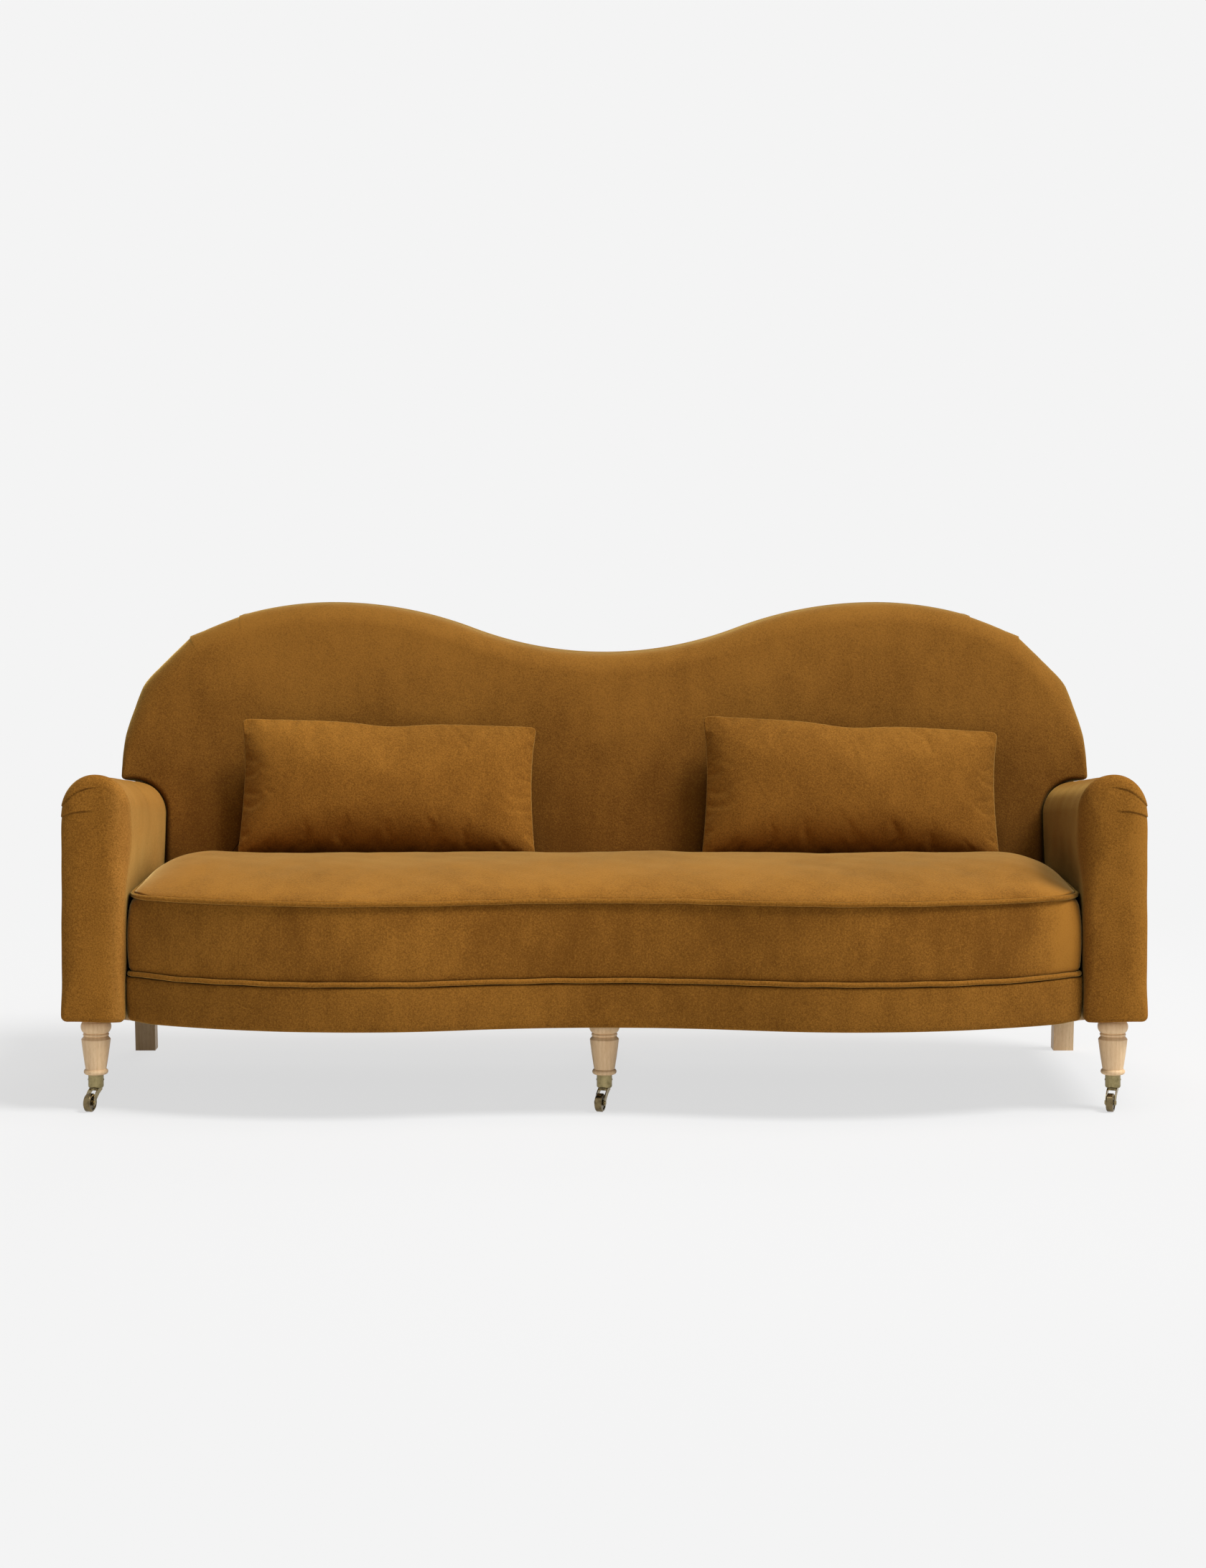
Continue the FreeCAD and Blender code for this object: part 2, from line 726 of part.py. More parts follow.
def crown_body(base):
    """What lies under the crowned top panel: arches from front to rear, lower toward the arms."""
    side = arm_inner - side_gap
    rear = back_face(seat_edge_height) - back_gap - back_crown
    margin = welt_radius
    low = deck_top
    spread = [0.0, bulge_offset / side, crown_flat_share, crown_fade_share, 1 + margin / side]
    rises = [1.0, 1.0, 1.0, crown_fade_rise_share, crown_end_rise_share]
    sections = []
    places = [(-s, r) for s, r in zip(spread[:0:-1], rises[:0:-1])] + list(zip(spread, rises))
    for share, rise_share in places:
        x = share * side
        rise = (seat_crown - edge_bevel / 2) * rise_share
        near = serpentine_y(abs(x)) + edge_bevel
        middle = (near + rear) / 2
        reach = (rear - near) / 2
        radius = (reach**2 + rise**2) / (2 * rise)
        foot = base + rise - radius + math.sqrt(radius**2 - (reach + margin) ** 2)
        y0 = middle - reach - margin
        y1 = middle + reach + margin
        edges = [
            Part.makeLine(Vector(x, y1, low), Vector(x, y0, low)),
            Part.makeLine(Vector(x, y0, low), Vector(x, y0, foot)),
            arc(Vector(x, y0, foot), Vector(x, middle, base + rise), Vector(x, y1, foot)),
            Part.makeLine(Vector(x, y1, foot), Vector(x, y1, low)),
        ]
        sections.append(Part.Wire(edges))
    return Part.makeLoft(sections, True, False)


def serpentine_y(x):
    """The serpentine line's y at a distance from the middle."""
    turn = math.asin(bulge_offset / serpent_span)
    if x < hollow_radius * math.sin(turn):
        return hollow_centre_y + math.sqrt(hollow_radius**2 - x**2)
    return bulge_centre_y - math.sqrt(bulge_radius**2 - (x - bulge_offset) ** 2)


def make_cushion():
    """The loose bench cushion: cover, foam core and the two piped seams."""
    bottom = deck_top + clearance
    low_seam = bottom + welt_radius + welt_lap
    high_seam = seat_edge_height - welt_lap
    top_base = seat_edge_height + welt_radius
    seam_inset = welt_radius + welt_lap
    panel_inset = seam_inset + edge_bevel - welt_lap / 2
    middle = (low_seam + high_seam) / 2
    middle_corner = (cushion_bottom_corner + cushion_top_corner) / 2
    under = cushion_outline(panel_inset, cushion_bottom_corner, bottom, bottom)
    low = cushion_outline(seam_inset, cushion_bottom_corner, low_seam, bottom)
    waist = cushion_outline(seam_inset - boxing_bulge, middle_corner, middle, middle)
    high = cushion_outline(seam_inset, cushion_top_corner, high_seam, seat_edge_height)
    over = cushion_outline(panel_inset, cushion_top_corner, top_base, seat_edge_height)
    lower_bevel = Part.makeLoft([under, low], True, True)
    boxing = Part.makeLoft([low, waist, high], True, False)
    upper_bevel = Part.makeLoft([high, over], True, True)
    top = Part.Face(over).extrude(Vector(0, 0, seat_crown)).common(crown_body(top_base))
    form = lower_bevel.multiFuse([boxing, upper_bevel, top])
    core_low = bottom + cover_thickness
    core_high = high_seam - core_top_margin
    core_wire = cushion_outline(core_margin, cushion_top_corner, core_low, core_low)
    core = Part.Face(core_wire).extrude(Vector(0, 0, core_high - core_low))
    cover = form.cut(core)
    bottom_path = cushion_outline(welt_radius, cushion_bottom_corner, bottom + welt_radius, bottom)
    top_path = cushion_outline(welt_radius, cushion_top_corner, seat_edge_height, seat_edge_height)
    bottom_welt = tube_along(bottom_path, welt_radius)
    top_welt = tube_along(top_path, welt_radius)
    return form, cover, core, top_welt, bottom_welt


def pillow_form(shrink):
    """A knife-edged pillow on its own axes: X across, Z up its height, Y through its thickness."""
    half_width = pillow_width / 2 - shrink
    sections = []
    for place, swell in zip(pillow_place_shares, pillow_swell_shares):
        half_height = pillow_height / 2 - shrink - pillow_draw_in / 2 * swell
        bulge = pillow_edge / 2 + (pillow_thickness - pillow_edge - shrink) / 2 * swell
        x = place * half_width
        foot = Vector(x, 0, -half_height)
        top = Vector(x, 0, half_height)
        edges = [
            arc(foot, Vector(x, -bulge, 0), top),
            arc(top, Vector(x, bulge, 0), foot),
        ]
        sections.append(Part.Wire(edges))
    return Part.makeLoft(sections, True, False)


def make_pillow(centre, seat):
    """A lumbar pillow leaning on the inside back, let down along it until its lower seam meets the seat."""
    rake = math.radians(back_rake)
    reach = pillow_height / 2
    thickness = pillow_thickness / 2 + back_crown + pillow_tuck
    middle_z = seat_edge_height + seat_crown + reach
    middle_y = back_face(middle_z) - thickness / math.cos(rake)
    downhill = Vector(0, -math.sin(rake), -math.cos(rake))
    lean = FreeCAD.Rotation(Vector(1, 0, 0), -back_rake)
    placement = FreeCAD.Placement(Vector(centre, middle_y, middle_z), lean)
    outer = pillow_form(0).transformGeometry(placement.toMatrix())
    for _ in range(pillow_settling_steps):
        gap = outer.distToShape(seat)[0] - clearance
        outer.translate(downhill * gap)
        placement.move(downhill * gap)
    insert = pillow_form(insert_margin).transformGeometry(placement.toMatrix())
    return outer.cut(insert), insert


def make_base(legs):
    """The wooden base frame, its webbing, deck pad, rail cover and dust cover."""
    rail_face = cover_set_in + cover_thickness
    rail_back = rail_face + front_rail_thickness
    block_in = arm_middle - leg_block_width / 2
    block_out = arm_middle + leg_block_width / 2
    block_back = facing_back + leg_block_depth
    block_top = frame_bottom + leg_block_height
    rear_face = outside(frame_bottom) - back_panel_thickness
    rear_front = rear_face - rear_rail_thickness
    side_out = arm_outer - outside_panel
    side_in = side_out - side_rail_thickness
    deck_rear = outside(rail_top) - frame_zone - rear_rail_front_gap

    front_rail = deck_region(rail_face, block_in, block_back, frame_bottom, rail_top)
    front_rail = front_rail.cut(deck_region(rail_back, arm_outer, block_back + overrun, 0, back_height))
    cover = deck_region(cover_set_in, arm_inner, block_back, frame_bottom, deck_top)
    cover = cover.cut(deck_region(rail_face, arm_outer, block_back + overrun, 0, back_height))
    rear_rail = box(-side_out, side_out, rear_front, rear_face, frame_bottom, rail_top)
    side_rail = box(side_in, side_out, block_back, rear_front, frame_bottom, side_rail_top)
    side_block = box(block_in, block_out, facing_back, block_back, frame_bottom, block_top)
    middle_front = front + front_dip + rail_back
    half_block = leg_block_width / 2
    centre_block = box(-half_block, half_block, middle_front, block_back, frame_bottom, block_top)
    half_centre = centre_stretcher_thickness / 2
    stretcher_low = frame_bottom + stretcher_rise
    centre_stretcher = box(-half_centre, half_centre, block_back, rear_front, stretcher_low, side_rail_top)
    inside_front = deck_region(rail_back, arm_outer, rear_front, stretcher_low, side_rail_top)
    half_thin = stretcher_thickness / 2
    stretchers = []
    for x in (-stretcher_offset, stretcher_offset):
        bar = box(x - half_thin, x + half_thin, front, rear_front, stretcher_low, side_rail_top)
        stretchers.append(bar.common(inside_front))

    corner_blocks = []
    for x, way in ((side_in, -1), (-side_in, 1), (half_centre, 1), (-half_centre, -1)):
        corners = [
            Vector(x, rear_front, frame_bottom),
            Vector(x + way * corner_block_leg, rear_front, frame_bottom),
            Vector(x, rear_front - corner_block_leg, frame_bottom),
        ]
        wedge = Part.Face(Part.makePolygon(corners + corners[:1]))
        corner_blocks.append(wedge.extrude(Vector(0, 0, leg_block_height)))

    strap_region = deck_region(rail_face, arm_inner, rear_face, rail_top, strap_top)
    straps = []
    for count in range(-seat_strap_pairs, seat_strap_pairs + 1):
        x = count * seat_strap_pitch
        strap = box(x - seat_strap_width / 2, x + seat_strap_width / 2, front, deck_rear, rail_top, strap_top)
        straps.append(strap.common(strap_region))
    cross = []
    half_strap = seat_strap_width / 2
    low = rail_top - webbing_thickness
    for count in (-1, 0, 1):
        y = count * cross_strap_pitch
        cross.append(box(-side_out, side_out, y - half_strap, y + half_strap, low, rail_top))

    deck_pad = deck_region(rail_face, arm_inner, deck_rear, strap_top, deck_top)
    dust_low = frame_bottom - dust_cover_thickness
    dust = deck_region(dust_cover_margin, block_in, rear_front, dust_low, frame_bottom)
    dust = dust.fuse(box(-side_in, side_in, block_back, rear_front, dust_low, frame_bottom)).removeSplitter()
    for piece in legs:
        dust = dust.cut(piece)
    return {
        "front_rail": front_rail,
        "front_rail_cover": cover,
        "rear_rail": rear_rail,
        "side_rail": side_rail,
        "leg_blocks": Part.Compound([centre_block] + list(both(side_block))),
        "centre_stretcher": centre_stretcher,
        "seat_stretchers": Part.Compound(stretchers),
        "corner_blocks": Part.Compound(corner_blocks),
        "seat_webbing": Part.Compound(straps),
        "cross_webbing": Part.Compound(cross),
        "deck_pad": deck_pad,
        "dust_cover": dust,
    }


def hanger_bolt(x, y):
    low = frame_bottom - hanger_bolt_reach
    return Part.makeCylinder(hanger_bolt_radius, 2 * hanger_bolt_reach, Vector(x, y, low))


def build():
    """All the sofa's pieces, by name."""
    parts = {}
    names = ["left", "centre", "right"]
    front_places = dict(zip(names, (-front_leg_x, 0, front_leg_x)))
    rear_places = dict(zip(names, (-rear_leg_x, 0, rear_leg_x)))
    rear_leg_y = outside(frame_bottom) - rear_leg_side / 2
    bolts = [hanger_bolt(x, caster_y) for x in front_places.values()]
    bolts += [hanger_bolt(x, rear_leg_y) for x in rear_places.values()]
    all_bolts = Part.Compound(bolts)
    legs = []
    for name in names:
        front_leg = turned_leg(front_places[name]).cut(all_bolts)
        rear_leg = square_leg(rear_places[name]).cut(all_bolts)
        cup, fork, axle, wheel = make_caster(front_places[name])
        parts[name + "_front_leg"] = front_leg
        parts[name + "_rear_leg"] = rear_leg
        parts[name + "_caster_cup"] = cup
        parts[name + "_caster_fork"] = fork
        parts[name + "_caster_axle"] = axle
        parts[name + "_caster_wheel"] = wheel
        legs += [front_leg, rear_leg]
    parts["hanger_bolts"] = all_bolts

    base = make_base(legs + bolts)
    parts["right_side_rail"], parts["left_side_rail"] = both(base.pop("side_rail"))
    for name in ("leg_blocks", "rear_rail"):
        base[name] = base[name].cut(all_bolts)
    parts.update(base)

    square = arm_envelope()
    arms = both(square)
    top_rail, side_post, centre_post, tack, straps, pad, panel = make_back(arms)
    parts["back_top_rail"] = top_rail
    parts["right_back_post"], parts["left_back_post"] = both(side_post)
    parts["centre_back_post"] = centre_post
    parts["back_tack_rails"] = tack
    parts["back_webbing"] = straps
    parts["inside_back_pad"] = pad
    parts["outside_back_panel"] = panel

    for name, piece in make_arm(rounded_front(square), side_post, tack).items():
        parts["right_" + name], parts["left_" + name] = both(piece)

    form, cover, core, top_welt, bottom_welt = make_cushion()
    parts["seat_cushion_cover"] = cover
    parts["seat_cushion_core"] = core
    parts["cushion_top_welt"] = top_welt
    parts["cushion_bottom_welt"] = bottom_welt
    for name, share in (("left", pillow_left_share), ("right", pillow_right_share)):
        pillow, insert = make_pillow(width * share, form)
        parts[name + "_pillow_cover"] = pillow
        parts[name + "_pillow_insert"] = insert
    return parts


os.makedirs("parts", exist_ok=True)
for node, shape in build().items():
    shape.exportStep("parts/" + node + ".step")
    print(node, len(shape.Solids), shape.isValid(), round(shape.Volume))
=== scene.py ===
"""A three-seat camel-back sofa in mustard velvet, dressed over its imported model.

Metres, +Z up, the front toward -Y. Left and right are as seen from the front, so left is -X.
"""

import math

import bmesh
import bpy
import numpy as np
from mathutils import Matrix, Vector


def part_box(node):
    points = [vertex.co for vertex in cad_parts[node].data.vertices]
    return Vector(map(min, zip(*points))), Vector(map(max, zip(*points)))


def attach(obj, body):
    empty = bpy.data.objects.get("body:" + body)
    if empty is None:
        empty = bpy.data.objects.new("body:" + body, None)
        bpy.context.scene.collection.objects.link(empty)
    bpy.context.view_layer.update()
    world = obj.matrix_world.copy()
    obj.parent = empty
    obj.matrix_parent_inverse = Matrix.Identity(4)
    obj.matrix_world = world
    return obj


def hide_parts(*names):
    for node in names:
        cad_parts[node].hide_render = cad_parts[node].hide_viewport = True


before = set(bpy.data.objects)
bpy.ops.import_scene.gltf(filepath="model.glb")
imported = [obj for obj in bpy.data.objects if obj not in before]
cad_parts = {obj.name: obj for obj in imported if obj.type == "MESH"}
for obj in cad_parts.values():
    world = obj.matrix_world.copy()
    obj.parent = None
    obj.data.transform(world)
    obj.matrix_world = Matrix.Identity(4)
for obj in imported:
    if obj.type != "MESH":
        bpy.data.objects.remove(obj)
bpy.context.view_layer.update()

# The studio. A level camera stands before the middle of the sofa, the pale floor runs out to white,
# and soft lamps light the sofa: the key high on its right, one overhead, weak ones before and behind it.
camera_data = bpy.data.cameras.new("camera")
camera = bpy.data.objects.new("camera", camera_data)
bpy.context.scene.collection.objects.link(camera)
camera.location = (0.0, -7.023, 1.248)
camera.rotation_euler = (math.radians(90), 0.0, 0.0)
camera_data.sensor_width = 36.0
camera_data.lens = 78.38
camera_data.shift_x = -0.0009
camera_data.shift_y = -0.1966
camera_data.clip_end = 200.0
bpy.context.scene.camera = camera
bpy.context.scene.view_settings.view_transform = "Standard"

background = 0.905
floor_lit = 0.26
floor_level = 1.20
lamps = [
    ("key_lamp", "SUN", (4.8, -2.3, 8.5), math.radians(22), 3.05),
    ("top_lamp", "AREA", (1.3, -0.6, 4.4), (3.4, 2.6), 70.0),
    ("fill_lamp", "AREA", (0.6, -10.5, 3.0), (4.0, 3.0), 165.0),
    ("rear_lamp", "AREA", (0.0, 4.6, 3.2), (3.2, 2.0), 60.0),
]
for name, kind, place, size, power in lamps:
    lamp = bpy.data.lights.new(name, kind)
    if kind == "SUN":
        lamp.angle = size
    else:
        lamp.shape = "RECTANGLE"
        lamp.size, lamp.size_y = size
    lamp.energy = power
    lamp_object = bpy.data.objects.new(name, lamp)
    lamp_object.location = place
    lamp_object.rotation_euler = (Vector((0.0, 0.0, 0.5)) - Vector(place)).to_track_quat("-Z", "Y").to_euler()
    bpy.context.scene.collection.objects.link(lamp_object)


class Wire:
    """One output of a material's nodes. Arithmetic with numbers or other outputs adds Math nodes."""

    def __init__(self, finish, socket):
        self.finish = finish
        self.socket = socket

    def math(self, operation, *values):
        return self.finish.node("ShaderNodeMath", {"operation": operation}, dict(enumerate(values)))

    def __add__(self, other):
        return self.math("ADD", self, other)

    def __sub__(self, other):
        return self.math("SUBTRACT", self, other)

    def __rsub__(self, other):
        return self.math("SUBTRACT", other, self)

    def __mul__(self, other):
        return self.math("MULTIPLY", self, other)

    def __truediv__(self, other):
        return self.math("DIVIDE", self, other)

    def __abs__(self):
        return self.math("ABSOLUTE", self)

    def sine(self):
        return self.math("SINE", self)

    __radd__ = __add__
    __rmul__ = __mul__

    def step(self, low, high):
        """0 below low, 1 above high, and a smooth rise between them."""
        settings = {"interpolation_type": "SMOOTHSTEP"}
        return self.finish.node(
            "ShaderNodeMapRange", settings, {"Value": self, "From Min": low, "From Max": high}
        )


class Finish:
    """A material, whose nodes are added one by one."""

    def __init__(self, name, tree=None):
        if tree is None:
            self.material = bpy.data.materials.new(name)
            self.material.use_nodes = True
            tree = self.material.node_tree
        self.tree = tree
        self.tree.nodes.clear()

    def node(self, kind, settings, values, output=0):
        """A new node: its settings first, then its sockets' values or links. Returns one output."""
        made = self.tree.nodes.new(kind)
        for name, value in settings.items():
            setattr(made, name, value)
        for name, value in values.items():
            if isinstance(value, Wire):
                self.tree.links.new(value.socket, made.inputs[name])
            else:
                made.inputs[name].default_value = value
        return Wire(self, made.outputs[output]) if made.outputs else made

    def mix(self, share, first, second):
        """The first colour where the share is 0, the second where it is 1."""
        return self.node("ShaderNodeMix", {"data_type": "RGBA"}, {0: share, 6: first, 7: second}, 2)

    def spot(self):
        """The place on the piece, in metres."""
        return self.node("ShaderNodeTexCoord", {}, {}, "Object")

    def part(self, place, axis):
        """One of a place's three coordinates."""
        return self.node("ShaderNodeSeparateXYZ", {}, {"Vector": place}, axis)

    def noise(self, place, scale, detail, roughness=0.5):
        """Smooth noise, with finer layers over it."""
        values = {"Vector": place, "Scale": scale, "Detail": detail, "Roughness": roughness}
        return self.node("ShaderNodeTexNoise", {}, values)

    def relief(self, height, strength, distance):
        """A fine relief for the surface's Normal."""
        return self.node("ShaderNodeBump", {}, {"Height": height, "Strength": strength, "Distance": distance})

    def coat(self, values):
        """The material, finished with one surface of these values."""
        surface = self.node("ShaderNodeBsdfPrincipled", {}, values)
        self.node("ShaderNodeOutputMaterial", {}, {"Surface": surface})
        return self.material


def seen_directly(finish):
    """1 for rays from the camera, and for those that polished metal or glass sends on."""
    path = {}
    for output in ("Is Camera Ray", "Is Glossy Ray", "Is Transmission Ray"):
        path[output] = finish.node("ShaderNodeLightPath", {}, {}, output)
    total = path["Is Camera Ray"] + path["Is Glossy Ray"] + path["Is Transmission Ray"]
    return finish.node("ShaderNodeClamp", {}, {"Value": total})


pale = (background, background, background, 1.0)
floor_finish = Finish("pale_floor")
away = floor_finish.node("ShaderNodeVectorMath", {"operation": "LENGTH"}, {0: floor_finish.spot()}, "Value")
plain_glow = floor_finish.node("ShaderNodeEmission", {}, {"Color": pale, "Strength": 1.0})
part_glow = floor_finish.node("ShaderNodeEmission", {}, {"Color": pale, "Strength": 1.0 - floor_lit})
lit_share = (floor_lit * background / floor_level,) * 3 + (1.0,)
lit = floor_finish.node("ShaderNodeBsdfDiffuse", {}, {"Color": lit_share})
near_floor = floor_finish.node("ShaderNodeAddShader", {}, {0: part_glow, 1: lit})
seen_floor = floor_finish.node(
    "ShaderNodeMixShader", {}, {0: away.step(1.7, 3.4), 1: near_floor, 2: plain_glow}
)
real_floor = floor_finish.node("ShaderNodeBsdfDiffuse", {}, {"Color": (0.75, 0.75, 0.75, 1.0)})
whole_floor = floor_finish.node(
    "ShaderNodeMixShader", {}, {0: seen_directly(floor_finish), 1: real_floor, 2: seen_floor}
)
floor_finish.node("ShaderNodeOutputMaterial", {}, {"Surface": whole_floor})

floor_half = 60.0
floor_mesh = bpy.data.meshes.new("floor")
corners = [(-1, -1), (1, -1), (1, 1), (-1, 1)]
floor_mesh.from_pydata([(x * floor_half, y * floor_half, 0.0) for x, y in corners], [], [(0, 1, 2, 3)])
floor = bpy.data.objects.new("floor", floor_mesh)
floor_mesh.materials.append(floor_finish.material)
bpy.context.scene.collection.objects.link(floor)

world = bpy.data.worlds.new("studio")
world.use_nodes = True
bpy.context.scene.world = world
air = Finish("studio", world.node_tree)
soft_light = air.node("ShaderNodeBackground", {}, {"Color": (1.0, 1.0, 1.0, 1.0), "Strength": 0.08})
backdrop = air.node("ShaderNodeBackground", {}, {"Color": pale, "Strength": 1.0})
surround = air.node("ShaderNodeMixShader", {}, {0: seen_directly(air), 1: soft_light, 2: backdrop})
air.node("ShaderNodeOutputWorld", {}, {"Surface": surround})


# The carcass: sawn softwood rails, posts, blocks and stretchers, glued and screwed together.
# All of it is upholstered over, so the timber is left as it comes from the saw, with open grain.
def timber(name, light, dark, across, lengthwise, gloss, pores):
    """Wood with its rings drawn out along one axis: stretched noise for its figure, fine noise for pores."""
    wood = Finish(name)
    drawn = wood.node("ShaderNodeMapping", {}, {"Vector": wood.spot(), "Scale": lengthwise})
    figure = wood.node(
        "ShaderNodeTexNoise", {}, {"Vector": drawn, "Scale": across, "Detail": 4.0, "Distortion": 0.6}
    )
    rings = wood.node(
        "ShaderNodeTexWave",
        {"wave_type": "BANDS", "bands_direction": "X", "wave_profile": "SIN"},
        {"Vector": drawn, "Scale": across * 0.9, "Distortion": 5.0, "Detail": 2.0, "Detail Scale": 1.2},
    )
    fine = wood.noise(drawn, pores, 3.0, 0.7)
    tone = figure * 0.50 + rings * 0.08 + fine * 0.42
    colour = wood.mix(tone.step(0.20, 0.80), light, dark)
    flecks = fine.step(0.60, 0.74) * 0.35
    colour = wood.mix(flecks, colour, tuple(0.62 * c for c in dark[:3]) + (1.0,))
    relief = wood.relief(fine, 0.25, 0.0004)
    rough = gloss + fine * 0.16
    return wood.coat({"Base Color": colour, "Roughness": rough, "Normal": relief, "Specular IOR Level": 0.4})


def give(nodes, material):
    """Puts a material on CAD nodes that stay in sight."""
    for name in nodes:
        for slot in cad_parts[name].material_slots:
            slot.material = material


pine_light = (0.56, 0.40, 0.22, 1.0)
pine_dark = (0.36, 0.22, 0.10, 1.0)
pine_across = timber("frame_timber_across", pine_light, pine_dark, 30.0, (0.12, 1.0, 1.0), 0.58, 260.0)
pine_upright = timber("frame_timber_upright", pine_light, pine_dark, 30.0, (1.0, 1.0, 0.12), 0.58, 260.0)
pine_deep = timber("frame_timber_deep", pine_light, pine_dark, 30.0, (1.0, 0.12, 1.0), 0.58, 260.0)
give(["front_rail", "rear_rail", "back_top_rail", "back_tack_rails"], pine_across)
sides = ("left", "centre", "right")
give([side + "_back_post" for side in sides] + ["left_arm_post", "right_arm_post"], pine_upright)
give(["left_side_rail", "right_side_rail", "left_arm_rail", "right_arm_rail"], pine_deep)
give(["leg_blocks", "centre_stretcher", "seat_stretchers", "corner_blocks"], pine_deep)

# The legs: pale beech, three turned on the lathe for the front and three square ones raked at the back.
# They are sanded, finished with a thin matt oil and screwed up into the frame on hanger bolts.
beech_light = (0.88, 0.64, 0.38, 1.0)
beech_dark = (0.67, 0.42, 0.21, 1.0)
beech = timber("turned_beech", beech_light, beech_dark, 42.0, (1.0, 1.0, 0.07), 0.40, 420.0)
give([side + "_front_leg" for side in sides], beech)
give([side + "_rear_leg" for side in sides], beech)

steel = Finish("bolt_steel")
spot = steel.spot()
drawn_steel = steel.node("ShaderNodeMapping", {}, {"Vector": spot, "Scale": (1.0, 1.0, 0.2)})
scratches = steel.noise(drawn_steel, 1400.0, 3.0)
zinc = steel.noise(spot, 120.0, 4.0)
steel_tone = steel.mix(zinc.step(0.35, 0.70), (0.42, 0.42, 0.41, 1.0), (0.62, 0.62, 0.60, 1.0))
steel_relief = steel.relief(scratches, 0.2, 0.0002)
steel.coat(
    {"Base Color": steel_tone, "Metallic": 1.0, "Roughness": 0.32 + zinc * 0.2, "Normal": steel_relief}
)
give(["hanger_bolts"], steel.material)


# The casters: cast brass cups pinned to the feet, forks that swivel in them on a pintle, and turned wheels
# on riveted axles. The brass has darkened with age, and shines where hands and floors have rubbed it.
def brass(name, bright, dull, rough):
    """Aged brass: broad noise darkens it in patches, fine noise scratches it, and its edges stay brighter."""
    metal = Finish(name)
    spot = metal.spot()
    cloud = metal.noise(spot, 90.0, 5.0, 0.6)
    grit = metal.noise(spot, 900.0, 3.0)
    edge = metal.node("ShaderNodeNewGeometry", {}, {}, "Pointiness")
    patina = (cloud + grit * 0.25).step(0.42, 0.86)
    worn = edge.step(0.50, 0.60) * 0.5
    colour = metal.mix(patina - worn, bright, dull)
    relief = metal.relief(grit, 0.15, 0.0002)
    return metal.coat(
        {"Base Color": colour, "Metallic": 1.0, "Roughness": rough + patina * 0.16, "Normal": relief}
    )


cup_brass = brass("cup_brass", (0.31, 0.25, 0.12, 1.0), (0.16, 0.13, 0.055, 1.0), 0.30)
fork_brass = brass("fork_brass", (0.33, 0.26, 0.13, 1.0), (0.09, 0.065, 0.03, 1.0), 0.20)
wheel_brass = brass("wheel_brass", (0.20, 0.15, 0.075, 1.0), (0.035, 0.025, 0.014, 1.0), 0.18)
give([side + "_caster_cup" for side in sides], cup_brass)
give([side + "_caster_fork" for side in sides], fork_brass)
give([side + "_caster_axle" for side in sides], fork_brass)
give([side + "_caster_wheel" for side in sides], wheel_brass)


def solid(name, points, faces, material, closed=True, weld=None, fold=None, weave=None):
    """A smooth piece from points and faces. A closed one's faces are turned outward.

    A weld joins points closer than it. fold gives each point a share of the painted shade along a fold, and
    weave its place across and along a strap.
    """
    mesh = bpy.data.meshes.new(name)
    mesh.from_pydata(points.reshape(-1, 3).tolist(), [], faces)
    if fold is not None:
        mesh.attributes.new("fold", "FLOAT", "POINT").data.foreach_set("value", fold.ravel())
    if weave is not None:
        corners = np.empty(len(mesh.loops), dtype=np.int64)
        mesh.loops.foreach_get("vertex_index", corners)
        mesh.uv_layers.new(name="weave").data.foreach_set("uv", weave[corners].ravel())
    if closed:
        form = bmesh.new()
        form.from_mesh(mesh)
        if weld:
            bmesh.ops.remove_doubles(form, verts=form.verts, dist=weld)
            bmesh.ops.dissolve_degenerate(form, edges=form.edges, dist=weld / 2)
        bmesh.ops.recalc_face_normals(form, faces=form.faces)
        form.to_mesh(mesh)
        form.free()
    mesh.shade_smooth()
    mesh.materials.append(material)
    piece = bpy.data.objects.new(name, mesh)
    bpy.context.scene.collection.objects.link(piece)
    return piece


def rods(points):
    """The faces of rods: points holds rods, each a row of rings, which are joined by quads and capped."""
    index = np.arange(points[..., 0].size).reshape(points.shape[:3])
    beside = np.roll(index, -1, axis=2)
    bands = np.stack([index[:, :-1], beside[:, :-1], beside[:, 1:], index[:, 1:]], axis=-1).reshape(-1, 4)
    return bands.tolist() + index[:, 0, ::-1].tolist() + index[:, -1].tolist()


cup_radius = 0.0152
pin_radius, pin_rise = 0.0019, 0.0009
pin_height = 0.0590
foot_x, foot_y = 1.001, -0.299
around = np.linspace(0.0, 2 * np.pi, 16, endpoint=False)
bend = np.linspace(0.0, np.pi / 2, 5)
out = cup_radius + 0.00005 + np.concatenate([[0.0, 0.0], pin_rise * (0.3 + 0.7 * np.sin(bend))])[:, None]
wide = np.concatenate([[0.02, 1.0], np.cos(bend) * 0.98 + 0.02])[:, None] * pin_radius
y, z = foot_y + wide * np.cos(around), pin_height + wide * np.sin(around)
for side, place in zip(sides, (-foot_x, 0.0, foot_x)):
    heads = [np.stack(np.broadcast_arrays(place + way * out, y, z), axis=-1) for way in (-1.0, 1.0)]
    pins = solid(side + "_cup_pins", np.array(heads), rods(np.array(heads)), cup_brass)
    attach(pins, "sofa_frame")


